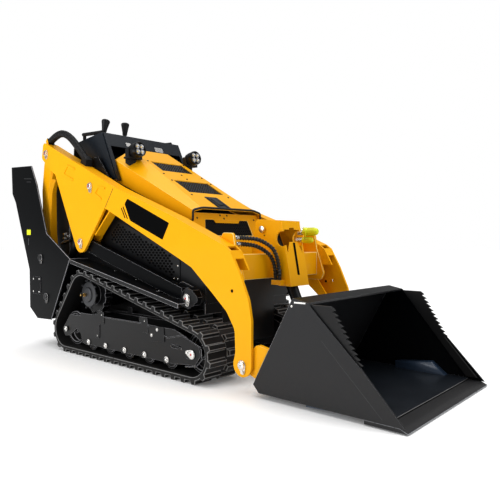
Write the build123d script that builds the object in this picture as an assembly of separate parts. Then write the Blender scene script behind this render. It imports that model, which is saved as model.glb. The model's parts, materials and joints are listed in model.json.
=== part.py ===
from build123d import *
import os
from math import atan2, degrees, hypot, pi, radians, tan

# Compact track loader with a vertical-lift arm, in millimetres.
# +X is forward, +Y the machine's left and +Z up. The origin is on the ground,
# under the middle of the machine's overall length and on its centre plane.
# Every paired piece is drawn on the right side (-Y) and mirrored to the left.

# ---------------------------------------------------------------- driving sizes
# track loop
track_outer_y = 446.0
track_width = 230.0
belt_thickness = 17.0
lug_height = 17.0
lug_count = 44
lug_base = 34.0
lug_tip = 24.0
lug_row_gap = 16.0
idler_radius = 98.0
sprocket_radius = 109.0
wheel_gap = 0.4
rear_idler_x = -715.0
front_idler_x = 362.0
sprocket_x = -539.0
sprocket_z = 341.0

# track rollers and the frame that holds them
roller_count = 5
roller_pitch = 168.0
first_roller_x = -491.0
roller_radius = 46.0
roller_axle_radius = 14.0
frame_plate = 10.0
frame_set_in = 12.0
frame_top_z = 236.0
frame_bottom_z = 72.0

# loader linkage: pivots as (x, z) with the arms down
rear_link_low = (-1000.0, 542.0)
rear_link_top = (-992.0, 1186.0)
lift_pin_low = (-934.0, 306.0)
lift_pin_top = (-507.0, 951.0)
lower_link_rear = (-605.0, 638.0)
lower_link_front = (283.0, 378.0)
hitch_pin = (639.0, 122.0)
tilt_pin_top = (478.0, 702.0)
tilt_pin_low = (684.0, 240.0)
pin_radius = 15.0
pin_play = 0.05

# loader arms
arm_outer_y = 402.0
arm_side_plate = 14.0
arm_inner_plate = 10.0
arm_box_width = 76.0
arm_cover = 8.0
arm_hole = (581.0, 432.0)
arm_hole_radius = 8.0
link_gap = 4.0
lift_barrel_radius = 22.0
lift_rod_radius = 12.5
tilt_barrel_radius = 27.0
tilt_eye_half = 26.0
lift_barrel_length = 660.0
tilt_barrel_length = 425.0
tilt_rod_radius = 16.0

# cross member: rear, front, bottom and top; cheeks and hose ports of the tilt bracket
cross_tube = (431.0, 531.0, 468.0, 585.0)
cheek_y = (60.0, 72.0)
port_x = (558.0, 614.0)

# hoses: radius and the points of each route
rear_hose_radius = 17.0
rear_hose_route = [(-1004, -364, 1266), (-912, -364, 1306), (-812, -362, 1286), (-722, -354, 1214),
                   (-640, -348, 1125)]
hose_block_rows = [
    ([(-1012, 1284), (-996, 1248), (-986, 1238), (-1018, 1246), (-1030, 1266)], 364),
    ([(-626, 1140), (-655, 1111), (-660, 1090), (-604, 1066), (-598, 1114)], 348),
]
arm_hose_radius = 9.0
arm_hose_routes = [
    [(500, -312, 660), (500, -242, 660), (548, -165, 652), (595, -92, 586), (595, -92, 462)],
    [(506, -312, 632), (506, -248, 632), (536, -165, 620), (573, -92, 556), (573, -92, 462)],
]

# quick couplers on the left: rear end's x, y and z, length of body and of cap, cap radius
coupler_rows = [(439.0, 250.0, 694.0, 62.0, 84.0, 22.0), (439.0, 246.0, 650.0, 58.0, 60.0, 17.0)]
coupler_plate = (431.0, 439.0, 216.0, 716.0)

# body
wall = 8.0
tub_half_width = 200.0
body_gap = 12.0
ground_clearance = 130.0
panel_gap = 30.0
panel_plate = 8.0
upright_plate = 10.0
hood_half_width = 257.0
hood_sheet = 4.0
hood_front = (182.0, 812.0)
hood_rear = (-478.0, 1190.0)
hood_drop = 6.0
vent_sheet = 4.0
vent_rim = 8.0
guard_line = [(-655.0, 538.0), (278.0, 356.0)]
guard_sheet = 4.0
dash_half_width = 285.0
dash_seat_z = 1120.0
deck_line = [(-868.0, 1215.0), (-545.0, 1252.0)]
hinge_radius = 8.0
handle_span = (-800.0, -596.0)
handle_z = 1296.0
handle_radius = 11.0

# hood openings: rear edge, front edge and half width
vents = [(-333.0, -220.0, 118.0), (-116.0, 17.0, 131.0)]

# front face of the body: top and bottom of the panel and of its grille opening
panel_line = [(160.0, 790.0), (250.0, 470.0)]
panel_sheet = 5.0
panel_half = 250.0
grille_z = (674.0, 755.0)
grille_half = (182.0, 161.0)

# bucket
hitch_plate = 14.0
hitch_half_width = 384.0
bucket_half_width = 405.0
bucket_back_top = (904.0, 424.0)
bucket_back_low = (703.0, 54.0)
bucket_plate = 8.0
edge_thickness = 16.0
bucket_clearance = 4.0
side_cutter_teeth = 11

# ---------------------------------------------------------------- worked out
track_inner_y = track_outer_y - track_width
idler_z = lug_height + belt_thickness + idler_radius
roller_z = lug_height + belt_thickness + roller_radius + wheel_gap
frame_outer_y = track_outer_y - frame_set_in
frame_front_slot = (254.0, 155.0)
frame_inner_y = track_inner_y + frame_set_in
arm_inner_y = arm_outer_y - arm_box_width
body_half_width = arm_inner_y - body_gap
upright_inner_y = body_half_width - upright_plate
panel_outer_y = arm_outer_y + panel_gap + panel_plate
arm_room_outer = arm_outer_y - arm_side_plate
arm_room_inner = arm_inner_y + arm_inner_plate
link_outer_y = arm_room_outer - link_gap
link_inner_y = arm_room_inner + link_gap
roller_xs = [first_roller_x + i * roller_pitch for i in range(roller_count)]


# ---------------------------------------------------------------- shape helpers
def profile(rows):
    """Closed outline in the X-Z plane from rows of x, z, corner radius."""
    face = make_face(Polyline([(row[0], row[1]) for row in rows], close=True))
    for x, z, radius in rows:
        if radius:
            face = fillet(face.vertices().sort_by_distance((x, z))[0], radius)
    return face


def slab(face, y_low, y_high):
    """Extrude an X-Z outline between two Y stations."""
    return Pos(0, y_high, 0) * extrude(Plane.XZ * face, amount=y_high - y_low)


def right_slab(face, outer, inner):
    """The same on the machine's right side, from distances off the centre plane."""
    return slab(face, -outer, -inner)


def box_between(x_low, x_high, y_low, y_high, z_low, z_high):
    size = (x_high - x_low, y_high - y_low, z_high - z_low)
    middle = ((x_low + x_high) / 2, (y_low + y_high) / 2, (z_low + z_high) / 2)
    return Pos(*middle) * Box(*size)


def disc(x, z, radius):
    """A round outline in the X-Z plane."""
    return Pos(x, z) * Circle(radius)


def rod_y(x, z, radius, outer, inner):
    """A round bar along Y on the right side."""
    return right_slab(disc(x, z, radius), outer, inner)


def hull_of(rows):
    """The outline round discs given as rows of x, z, radius."""
    edges = []
    for x, z, radius in rows:
        edges += disc(x, z, radius).edges()
    return make_hull(edges)


def strip(path, depth):
    """A band of the given depth below a polyline of (x, z) points."""
    lower = offset_path(path, depth)
    return make_face(Polyline([*path, *reversed(lower)], close=True))


def offset_path(path, depth):
    """The polyline moved to its right by depth, with mitred corners."""
    normals = []
    for (x0, z0), (x1, z1) in zip(path, path[1:]):
        run = hypot(x1 - x0, z1 - z0)
        normals.append(((z1 - z0) / run, -(x1 - x0) / run))
    moved = []
    for i, (x, z) in enumerate(path):
        before = normals[max(i - 1, 0)]
        after = normals[min(i, len(normals) - 1)]
        mx, mz = before[0] + after[0], before[1] + after[1]
        scale = 2 * depth / (mx * mx + mz * mz)
        moved.append((x + mx * scale, z + mz * scale))
    return moved


def bar_between(start, end, radius, hole=0.0):
    """A round bar between two points in space."""
    line = Vector(*end) - Vector(*start)
    place = Plane(origin=start, z_dir=line)
    solid = extrude(place * Circle(radius), amount=line.length)
    if hole:
        solid -= extrude(place * Circle(hole), amount=line.length)
    return solid


def flag_head(x, z, face_y):
    """Head of a pivot pin with the flag that keeps it from turning, and its bolt."""
    head = rod_y(x, z, pin_radius + 3, face_y + 11, face_y + 5)
    flag = right_slab(hull_of([(x, z, pin_radius + 6), (x + 7, z - 28, 10.0)]), face_y + 5, face_y)
    bolt = right_slab(Pos(x + 7, z - 28) * RegularPolygon(7.5, 6), face_y + 10, face_y + 5)
    return head + flag + bolt


def flag_pin(x, z, face_y, inner_y):
    """Pivot pin with its head, flag and shank."""
    return flag_head(x, z, face_y) + rod_y(x, z, pin_radius, face_y, inner_y)


def mirrored(solid):
    return mirror(solid, about=Plane.XZ)


# ---------------------------------------------------------------- undercarriage
def belt_outline(extra):
    return hull_of([
        (rear_idler_x, idler_z, idler_radius + extra),
        (sprocket_x, sprocket_z, sprocket_radius + extra),
        (front_idler_x, idler_z, idler_radius + extra),
    ])


def lug_row(phase):
    """Belt outline with one row of lugs, moved along by a share of the pitch."""
    outer = belt_outline(belt_thickness)
    wire = outer.wire()
    sink = 3.0
    lugs = []
    for i in range(lug_count):
        u = (i + phase) / lug_count
        at = wire.position_at(u)
        along = wire.tangent_at(u)
        turn = degrees(atan2(along.Y, along.X))
        probe = at + Vector(along.Y, -along.X) * 5
        side = -1 if not outer.is_inside(probe) else 1
        lug = make_face(Polyline([
            (-lug_base / 2, -side * sink), (-lug_tip / 2, side * lug_height),
            (lug_tip / 2, side * lug_height), (lug_base / 2, -side * sink)], close=True))
        lugs.append((at, turn, lug))
    solid = outer
    for at, turn, lug in lugs:
        solid += Pos(at.X, at.Y) * Rot(0, 0, turn) * lug
    return solid - belt_outline(0)


def track():
    half = (track_width - lug_row_gap) / 2
    outer_row = right_slab(lug_row(0), track_outer_y, track_outer_y - half)
    inner_row = right_slab(lug_row(0.5), track_inner_y + half, track_inner_y)
    plain = belt_outline(belt_thickness) - belt_outline(0)
    middle = right_slab(plain, track_outer_y - half, track_inner_y + half)
    return outer_row + middle + inner_row


def sprocket():
    middle = (track_outer_y + track_inner_y) / 2
    teeth = 12
    rim = Circle(sprocket_radius - wheel_gap)
    for i in range(teeth):
        rim -= Rot(0, 0, 360 * i / teeth) * Pos(sprocket_radius, 0) * Circle(11.0)
    wheel = right_slab(Pos(sprocket_x, sprocket_z) * rim, middle + 22, middle - 22)
    hub = rod_y(sprocket_x, sprocket_z, 58.0, 390.0, middle + 22)
    nose = rod_y(sprocket_x, sprocket_z, 30.0, 404.0, 390.0)
    motor = rod_y(sprocket_x, sprocket_z, 74.0, middle - 22, tub_half_width)
    return wheel + hub + nose + motor


def idler(x):
    """Spoked disc wheel on an axle that reaches both frame plates."""
    middle = (track_outer_y + track_inner_y) / 2
    half = 38.0
    radius = idler_radius - wheel_gap
    wheel = rod_y(x, idler_z, radius, middle + half, middle - half)
    dish = disc(x, idler_z, radius - 16) - disc(x, idler_z, 34.0)
    wheel -= right_slab(dish, middle + half, middle + 10)
    wheel -= right_slab(dish, middle - 10, middle - half)
    return wheel + rod_y(x, idler_z, 22.0, frame_outer_y - frame_plate, frame_inner_y + frame_plate)


def rollers():
    """Twin-flanged rollers on their axles, one solid each."""
    middle = (track_outer_y + track_inner_y) / 2
    solids = []
    for x in roller_xs:
        axle = rod_y(x, roller_z, roller_axle_radius, frame_outer_y - frame_plate,
                     frame_inner_y + frame_plate)
        drum = rod_y(x, roller_z, roller_radius - 10, middle + 70, middle - 70)
        for side in (-1, 1):
            rim_out = middle + side * 46 + 22
            drum += rod_y(x, roller_z, roller_radius, rim_out, rim_out - 44)
        solids.append(axle + drum)
    return solids


def track_frame():
    """Two profiled plates, the deck between them and the stubs to the tub."""
    side = profile([
        (-728, 92, 20), (-752, 132, 14), (-668, 222, 10), (-560, 222, 0), (-560, 240, 0),
        (-388, 240, 0), (-388, 268, 4), (-347, 268, 4), (-347, frame_top_z, 0),
        (-22, frame_top_z, 0), (-22, 270, 4), (30, 270, 4), (30, frame_top_z, 0),
        (240, 234, 10), (312, 212, 20), (408, 172, 20), (420, 132, 20), (384, 88, 20),
        (238, frame_bottom_z, 0), (-540, frame_bottom_z, 12), (-560, 120, 8), (-600, 146, 10),
        (-676, 100, 14),
    ])
    slot = Pos(*frame_front_slot) * SlotOverall(70, 16)
    outer = right_slab(side - slot, frame_outer_y, frame_outer_y - frame_plate)
    inner = right_slab(side, frame_inner_y + frame_plate, frame_inner_y)
    deck = box_between(-520, 230, -(frame_outer_y - frame_plate), -(frame_inner_y + frame_plate),
                       frame_top_z - 24, frame_top_z - 12)
    body = outer + inner + deck
    for x in (-368, 4):
        body += box_between(x - 40, x + 40, -frame_inner_y, -tub_half_width,
                            frame_top_z - 90, frame_top_z - 20)
    for x in roller_xs:
        body += rod_y(x, roller_z, 12.0, frame_outer_y + 7, frame_outer_y)
    body += rod_y(rear_idler_x, idler_z, 14.0, frame_outer_y + 7, frame_outer_y)
    body += right_slab(hull_of([(front_idler_x, idler_z, 20.0), (front_idler_x - 26, idler_z - 12, 9)]),
                       frame_outer_y + 5, frame_outer_y)
    return body


def track_guard():
    """Folded sheet over the track's top run."""
    (x0, z0), (x1, z1) = guard_line
    full = (60, z0 + (z1 - z0) * (60 - x0) / (x1 - x0))
    sheet = right_slab(strip([(x0, z0), full], guard_sheet), track_outer_y - 4, body_half_width)
    nose = right_slab(strip(guard_line, guard_sheet), track_outer_y - 4, link_outer_y + 8)
    lip = right_slab(strip(guard_line, 22), track_outer_y - 4, track_outer_y - 4 - guard_sheet)
    return sheet + nose + lip


# ---------------------------------------------------------------- body
def chassis():
    """Belly tub, upper side walls, uprights for the links and the front bulkhead."""
    tub = box_between(-860, 330, -tub_half_width, tub_half_width, ground_clearance, 500)
    tub -= box_between(-860 + wall, 330 - wall, -tub_half_width + wall, tub_half_width - wall,
                       ground_clearance + wall, 501)
    tub -= box_between(-100, 331, -tub_half_width - 1, tub_half_width + 1, 421, 501)
    body = tub
    upper = profile([(-872, 500, 0), (-700, 500, 0), (-655, 538, 0), (278, 356, 0), (330, 356, 0),
                     (330, 470, 0), (150, 720, 0), (-408, 948, 0), (-560, 1130, 0), (-872, 1130, 0)])
    for sign in (-1, 1):
        low, high = sorted((sign * body_half_width, sign * (body_half_width - wall)))
        body += slab(upper, low, high)
        low, high = sorted((sign * body_half_width, sign * (tub_half_width - wall)))
        body += slab(strip(guard_line, wall), low, high)
        body += box_between(-872, -655, low, high, 530 - wall - 22, 530 - 22)
    body += box_between(322, 330, -body_half_width, body_half_width, 348, 470)
    return body


def upright():
    """Inner plate of the rear corner, and the pins that carry link and cylinder."""
    plate = profile([(-1140, 240, 10), (-1060, 198, 0), (-880, 198, 0), (-880, 1090, 0),
                     (-1080, 1090, 20), (-1110, 900, 0), (-1140, 470, 0)])
    body = right_slab(plate, body_half_width, upright_inner_y)
    for x, z in (rear_link_low, lift_pin_low):
        body += rod_y(x, z, 32.0, link_inner_y - 1, body_half_width)
        body += flag_pin(x, z, panel_outer_y, upright_inner_y)
    return body


def side_panel():
    """Outer guard plate of the rear corner with its webs."""
    rows = [(-1380, 1130, 0), (-1113, 1117, 0), (-1044, 996, 0), (-927, 691, 0), (-662, 542, 0),
            (-878, 169, 0), (-1044, 163, 0), (-1140, 225, 0), (-1145, 464, 0), (-1325, 893, 0),
            (-1371, 954, 0)]
    plate = right_slab(profile(rows), panel_outer_y, panel_outer_y - panel_plate)
    for x, z in (rear_link_low, lift_pin_low):
        plate -= rod_y(x, z, pin_radius, panel_outer_y, panel_outer_y - panel_plate)
    web = strip([(-668, 542), (-881, 174), (-1042, 168), (-1134, 228), (-1139, 464)], 6)
    plate += right_slab(web, panel_outer_y - panel_plate, body_half_width)
    return plate


def engine_block():
    return box_between(-420, 60, -170, 170, 300, 740)


def operator_platform():
    step = box_between(-1150, -880, -body_half_width, body_half_width, 190, 198)
    step += box_between(-1150, -1142, -upright_inner_y, upright_inner_y, 160, 190)
    return step


def rear_cover():
    """Wall in front of the operator, with the pad to lean on."""
    cover = box_between(-880, -872, -body_half_width, body_half_width, 198, dash_seat_z)
    return cover


def hood_z(x):
    """Height of the hood's sloping top at x."""
    slope = (hood_front[1] - hood_rear[1]) / (hood_front[0] - hood_rear[0])
    return hood_rear[1] + slope * (x - hood_rear[0])


def hood_section(x, top_half, shoulder, skirt, drop=0.0):
    """Outline across the hood: half width of the top, fall to its shoulder and to its hem."""
    top = hood_z(x) - drop
    side = hood_half_width
    right = [(-side, top - skirt), (-side, top - shoulder), (-top_half, top)]
    left = [(-y, z) for y, z in reversed(right)]
    return Plane(origin=(x, 0, 0), x_dir=(0, 1, 0), z_dir=(1, 0, 0)) * make_face(
        Polyline([*right, *left], close=True))


def hood_form():
    """The hood's outside as a solid."""
    return loft([hood_section(hood_rear[0], 135, 77, 198), hood_section(hood_front[0], 195, 15, 77)])


def hood():
    """Folded sheet hood with two openings in its top and a hinge tube at its rear edge."""
    past = 20
    inner = loft([
        hood_section(hood_rear[0] - past, 133, 77, 290, hood_drop),
        hood_section(hood_front[0] + past, 193, 15, 200, hood_drop),
    ])
    inner_half = hood_half_width - hood_sheet
    inner &= box_between(2 * hood_rear[0], 2 * hood_front[0], -inner_half, inner_half,
                         0, 2 * hood_rear[1])
    body = hood_form() - inner
    for x_rear, x_front, half in vents:
        body -= box_between(x_rear, x_front, -half, half, hood_z(x_front) - 40, hood_z(x_rear) + 40)
    x, z = hood_rear
    body += slab(disc(x, z - hinge_radius, hinge_radius), -120, 120)
    return body


def hood_vents():
    """Dark louvre trays under the two openings."""
    trays = []
    for x_rear, x_front, half in vents:
        ends = (x_rear - vent_rim, x_front + vent_rim)
        line = [(x, hood_z(x) - hood_drop) for x in ends]
        trays.append(slab(strip(line, vent_sheet), -half - vent_rim, half + vent_rim))
    return trays


def dash():
    """Console: front sheet, two side wings and the operator's top deck."""
    front = slab(strip([(-556, 1272), (-517, 1193)], -wall), -dash_half_width, dash_half_width)
    wing = profile([(-560, 1278, 0), (-796, 1250, 0), (-868, 1232, 0), (-812, 1188, 0),
                    (-724, 1139, 0), (-420, 992, 0)])
    body = front
    for sign in (-1, 1):
        low, high = sorted((sign * (dash_half_width - 1), sign * (dash_half_width + 4)))
        body += slab(wing, low, high)
        low, high = sorted((sign * dash_half_width, sign * (hood_half_width + 6)))
        body += slab(strip([(-517, 1193), (-414, 985)], -wall), low, high)
    deck = slab(strip(deck_line, 6), -dash_half_width, dash_half_width)
    back = slab(strip([(-871, dash_seat_z), (-864, 1217)], -6), -dash_half_width, dash_half_width)
    return body + deck + back


def lever(y, lean):
    x0, z0 = deck_line[0]
    x1, z1 = deck_line[1]
    slope = (z1 - z0) / (x1 - x0)
    foot_z = z0 + slope * (-700 - x0)
    stem = bar_between((-700, y, foot_z + 4), (-700, y + lean, 1350), 7.0)
    boot = Pos(-700, y, foot_z) * Rot(0, -degrees(atan2(slope, 1)), 0) * Cone(
        26, 10, 30, align=(Align.CENTER, Align.CENTER, Align.MIN))
    knob = Pos(-700, y + lean, 1340)
    rise = (Align.CENTER, Align.CENTER, Align.MIN)
    grip = knob * Cone(14, 23, 34, align=rise) + knob * Pos(0, 0, 34) * Cone(23, 14, 22, align=rise)
    return stem + boot + grip


def grab_handle():
    """Bar along the dash's top edge with a foot at each end."""
    x0, z0 = deck_line[0]
    x1, z1 = deck_line[1]
    slope = (z1 - z0) / (x1 - x0)
    y = -dash_half_width + handle_radius + 12
    rear, front = handle_span
    body = bar_between((rear, y, handle_z), (front, y, handle_z - 10), handle_radius)
    for x, z in ((rear + 14, handle_z), (front - 14, handle_z - 10)):
        body += bar_between((x, y, z0 + slope * (x - x0)), (x, y, z), handle_radius - 1)
    return body - slab(strip(deck_line, 60), -dash_half_width, dash_half_width)


def side_screen():
    """Sheet with rows of hexagonal holes in the upper side wall's window."""
    sheet = profile([(-452, 700, 0), (-384, 766, 0), (102, 590, 0), (150, 548, 0), (150, 440, 0),
                     (-452, 640, 0)])
    return right_slab(sheet, body_half_width + 4, body_half_width)


def on_panel(z):
    """X of the front panel's outer face at height z."""
    (x0, z0), (x1, z1) = panel_line
    return x0 + (x1 - x0) * (z - z0) / (z1 - z0)


def grille_cut(grow, x_low, x_high):
    """The grille's opening as a bar along X, wider all round by grow."""
    low, high = grille_z[0] - grow, grille_z[1] + grow
    rows = [(-grille_half[0] - grow, low), (-grille_half[1] - grow, high),
            (grille_half[1] + grow, high), (grille_half[0] + grow, low)]
    face = Plane(origin=(x_low, 0, 0), x_dir=(0, 1, 0), z_dir=(1, 0, 0)) * make_face(
        Polyline(rows, close=True))
    return extrude(face, amount=x_high - x_low)


def front_panel():
    """Front sheet under the hood with the grille's opening."""
    panel = slab(strip(panel_line, panel_sheet), -panel_half, panel_half)
    return panel - grille_cut(0, 0, 400)


def front_grille():
    """Dark sheet behind the opening."""
    line = [(on_panel(z) - panel_sheet - 0.2, z) for z in (grille_z[1] + 40, grille_z[0] - 40)]
    sheet = slab(strip(line, 3), -panel_half, panel_half)
    return sheet & grille_cut(14, 0, 400)


def work_lamp():
    """Round lamp in a forked stand on the hood's shoulder."""
    foot = box_between(-404, -362, -238, -196, 1040, 1112) - hood_form()
    fork = box_between(-372, -340, -262, -256, 1120, 1164) + box_between(-372, -340, -174, -168, 1120, 1164)
    fork += box_between(-386, -340, -262, -168, 1108, 1120)
    body = bar_between((-362, -215, 1150), (-308, -213, 1159), 40.0)
    axle = rod_y(-352, 1152, 8.0, 256, 174)
    return (foot + fork + body + axle) - hood_form()


# ---------------------------------------------------------------- loader linkage
def arm_top_line():
    return [(-986, 1242), (-278, 933), (216, 755), (539, 624)]


def arm_outline():
    px, pz = lower_link_rear
    hx, hz = hitch_pin
    beam = profile([
        (-1047, 1159, 20), (-1029, 1257, 20), (-986, 1242, 0), (-278, 933, 0), (216, 755, 0),
        (539, 624, 12), (569, 603, 12), (625, 505, 60), (674, 397, 60), (690, 312, 60),
        (hx + 50.5, hz, 0), (hx - 50.5, hz, 0), (600, 173, 60), (596, 268, 60), (548, 341, 60),
        (457, 418, 60), (325, 525, 80), (192, 584, 60), (-360, 821, 0), (-860, 1033, 30),
        (-956, 1083, 20)])
    toe = disc(hx, hz, 50.5)
    knee = hull_of([(px, pz, 60.0), (-314, 905, 14.0), (-885, 1108, 30.0), (-548, 1006, 30.0)])
    return beam + toe + knee


def arm_web_line():
    """Front edge of the arm's triangular tail, clear of the lower link."""
    px, pz = lower_link_rear
    dx, dz = -314 - px, 905 - pz
    run = hypot(dx, dz)
    ux, uz = dx / run, dz / run
    edge = [(px + uz * 58 + ux * t, pz - ux * 58 + uz * t) for t in (run * 0.9, 118)]
    return edge


def loader_arm():
    """Side plate, inner plate, top cover and webs of one welded arm."""
    outline = arm_outline()
    outer = right_slab(outline, arm_outer_y, arm_room_outer)
    cut = make_face(Polyline([(900, 520), (552, 520), (521, 446), (586, 358), (590, 300),
                              (540, -50), (900, -50)], close=True))
    inner = right_slab(outline - cut, arm_room_inner, arm_inner_y)
    cover = strip(arm_top_line(), arm_cover)
    shin = strip([(566, 606), (588, 570)], arm_cover)
    belly = strip([(-330, 808), (192, 584), (325, 525), (457, 418), (520, 366)], -arm_cover)
    web = strip(arm_web_line(), arm_cover)
    body = outer + inner
    for face in (cover, shin, belly, web):
        body += right_slab(face, arm_room_outer, arm_room_inner)
    px, pz = lower_link_rear
    body -= rod_y(px, pz, pin_radius, arm_outer_y, arm_inner_y)
    body += flag_pin(px, pz, arm_outer_y, arm_inner_y)
    for x, z in (rear_link_top, lift_pin_top):
        body += flag_head(x, z, arm_outer_y)
    hx, hz = hitch_pin
    body += flag_pin(hx, hz, arm_outer_y, arm_room_outer)
    body += rod_y(hx, hz, pin_radius, arm_room_outer, arm_room_outer - 44)
    body -= rod_y(*arm_hole, arm_hole_radius, arm_outer_y, arm_room_outer)
    return body


def hose_blocks():
    """The blocks on the right-hand arm's top that hold the rear hose's ends."""
    solids = []
    half = rear_hose_radius + 4
    for rows, middle in hose_block_rows:
        solids.append(right_slab(make_face(Polyline(rows, close=True)), middle + half, middle - half))
    return solids


def right_arm():
    """The right-hand arm, with the two blocks that hold the rear hose."""
    body = loader_arm()
    for block in hose_blocks():
        body += block
    return body


def beside_barrel(gap):
    """Two points of the line that runs behind the tilt cylinder at a gap."""
    bx, bz = tilt_pin_top
    ux, uz = tilt_pin_low
    reach = hypot(ux - bx, uz - bz)
    cx, cz = (ux - bx) / reach, (uz - bz) / reach
    off = tilt_barrel_radius + gap
    start = (bx + cz * off, bz - cx * off)
    tube_top, tube_front = cross_tube[3], cross_tube[1]
    high = start[0] + cx * (start[1] - tube_top) / -cz
    low = start[1] + cz * (tube_front - start[0]) / cx
    return (high, tube_top), (tube_front, low)


def cross_member():
    """Square tube between the arms, cut back behind the cylinder, with end gussets."""
    x_rear, x_front, z_low, z_top = cross_tube
    tube = box_between(x_rear, x_front, -arm_inner_y, arm_inner_y, z_low, z_top)
    high, low = beside_barrel(9.0)
    past = [(x_front + 5, low[1] - 5), (x_front + 5, z_top + 5), (high[0] - 5, z_top + 5)]
    tube -= slab(make_face(Polyline([high, low, *past], close=True)), -54, 54)
    end = profile([(x_rear, 440, 20), (x_rear, 640, 0), (452, 684, 14), (516, 682, 14),
                   (x_front, 606, 0), (576, 476, 14), (560, 440, 14)])
    for sign in (-1, 1):
        low, high = sorted((sign * arm_inner_y, sign * (arm_inner_y - 14)))
        tube += slab(end, low, high)
    plate_rear, plate_front, plate_y, plate_top = coupler_plate
    return tube + box_between(plate_rear, plate_front, plate_y, arm_inner_y - 10, z_top - 2, plate_top)


def tilt_bracket():
    """Two cheeks, the plate over them and the slotted wrap in front of the tilt cylinder."""
    tx, tz = tilt_pin_top
    inner, outer = cheek_y
    cheek = profile([(405, 585, 0), (434, 752, 20), (592, 742, 8), (606, 640, 0), (566, 585, 0)])
    cheek -= disc(594, 656, 36.0)
    wrap_foot, wrap_top = (650, 433), (610, 641)
    wing = profile([(531, 585, 0), (566, 592, 0), (*wrap_top, 0), (*wrap_foot, 0), (575, 433, 10),
                    (531, 480, 0)])
    wing -= disc(594, 656, 36.0)
    body = slab(strip([(440, 752), (592, 742)], 6), -outer, outer)
    body += slab(strip([(592, 742), (598, 700)], 6), -outer, outer) - slab(
        disc(598, 700, 10), -20, 20)
    face = slab(strip([wrap_top, wrap_foot], 5), -outer, outer)
    face -= box_between(590, 660, -6, 6, 505, 612)
    for sign in (-1, 1):
        low, high = sorted((sign * inner, sign * outer))
        body += slab(cheek, low, high) + slab(wing, low, high)
        peak = Plane(origin=(560, 0, 0), x_dir=(0, 1, 0), z_dir=(1, 0, 0)) * make_face(Polyline(
            [(sign * 27, 642), (sign * (outer + 1), 642), (sign * (outer + 1), 560)], close=True))
        face -= extrude(peak, amount=60)
        port = box_between(*port_x, *sorted((sign * outer, sign * (outer + 34))), 440, 462)
        body += port
    body += face
    body += slab(disc(tx, tz, pin_radius), -outer - 6, outer + 6)
    return body


def hose(route, radius):
    """A tube along a route of points, with an arc at each corner sized to its runs."""
    runs = [Vector(*b) - Vector(*a) for a, b in zip(route, route[1:])]
    radii = []
    for before, after in zip(runs, runs[1:]):
        half_turn = radians(before.get_angle(after)) / 2
        radii.append(0.45 * min(before.length, after.length) / tan(half_turn))
    line = FilletPolyline(*route, radius=radii)
    section = Plane(origin=route[0], z_dir=runs[0]) * Circle(radius)
    tube = sweep(section, path=line)
    print("  bend radii", [round(r) for r in radii], "volume ratio",
          round(tube.volume / (pi * radius ** 2 * line.length), 3))
    return tube


def rear_hose():
    """Sleeve of hoses that arches over the arm's tail and ends at the arm's inner side."""
    tube = hose(rear_hose_route, rear_hose_radius)
    for block in hose_blocks():
        tube -= block
    return tube


def arm_hoses():
    """Two hoses from the right-hand gusset to the ports of the tilt bracket."""
    return [hose(route, arm_hose_radius) for route in arm_hose_routes]


def couplers():
    """Two quick couplers with their caps, pointing forward from a plate on the left."""
    solids = []
    for x, y, z, body_length, cap_length, cap_radius in coupler_rows:
        body = bar_between((x, y, z), (x + body_length, y, z), 14.0)
        cap_end = (x + body_length + cap_length, y, z)
        body += bar_between((x + body_length, y, z), cap_end, cap_radius)
        solids.append(body)
    return solids


def rear_link():
    """Bowed box link with an eye at each end and a bevelled outer front edge."""
    low_x, low_z = rear_link_low
    top_x, top_z = rear_link_top
    shape = profile([
        (top_x + 36, top_z, 0), (-940, 1067, 60), (-985, 954, 80), (-981, 700, 80),
        (low_x + 38, low_z, 0), (low_x - 38, low_z, 0), (-1072, 700, 80), (-1078, 960, 80),
        (-1052, 1120, 60), (top_x - 36, top_z, 0)])
    shape += disc(top_x, top_z, 36.0)
    shape += disc(low_x, low_z, 38.0)
    body = right_slab(shape, link_outer_y, link_inner_y)
    bevel = 18.0
    corner = Plane(origin=(-940, -link_outer_y, 1067), x_dir=(1, 0, 0), z_dir=(0, 0, 1))
    wedge = corner * make_face(Polyline([(-bevel, 0), (10, 0), (10, bevel + 8)], close=True))
    body -= loft([
        Pos(0, 0, 62) * wedge,
        Pos(-45, 0, -113) * wedge,
        Pos(-41 + bevel, 0, -367) * wedge,
    ], ruled=True)
    body -= rod_y(low_x, low_z, pin_radius + pin_play, link_outer_y, link_inner_y)
    return body


def lower_link():
    """Deep beam from the arm's tail to the front pin, with an eight-sided eye plate."""
    fx, fz = lower_link_front
    px, pz = lower_link_rear
    slope = (pz - fz) / (fx - px)
    beam = profile([
        (px, pz + 30, 0), (fx - 50, fz + slope * 50 + 30, 0), (fx - 40, fz - 10, 0),
        (fx - 110, fz + slope * 110 - 38, 20), (px + 60, pz - slope * 60 - 44, 30),
        (px - 10, pz - 34, 0)])
    beam += disc(px, pz, 36.0)
    eye = Pos(fx, fz) * Rot(0, 0, 6) * RegularPolygon(50, 8)
    body = right_slab(beam, link_outer_y - 4, link_inner_y + 4)
    body += right_slab(disc(px, pz, 36.0), link_outer_y, link_inner_y)
    body += right_slab(eye, link_outer_y, link_inner_y)
    for x, z in (lower_link_front, lower_link_rear):
        body -= rod_y(x, z, pin_radius + pin_play, link_outer_y, link_inner_y)
    return body


def link_post():
    """Bracket on the side wall with the lower link's front pin."""
    fx, fz = lower_link_front
    plate = hull_of([(fx, fz, 44.0), (fx - 90, fz + 30, 40.0)])
    body = right_slab(plate, link_inner_y - 2, body_half_width)
    return body + flag_pin(fx, fz, link_outer_y + 1, body_half_width)


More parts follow.
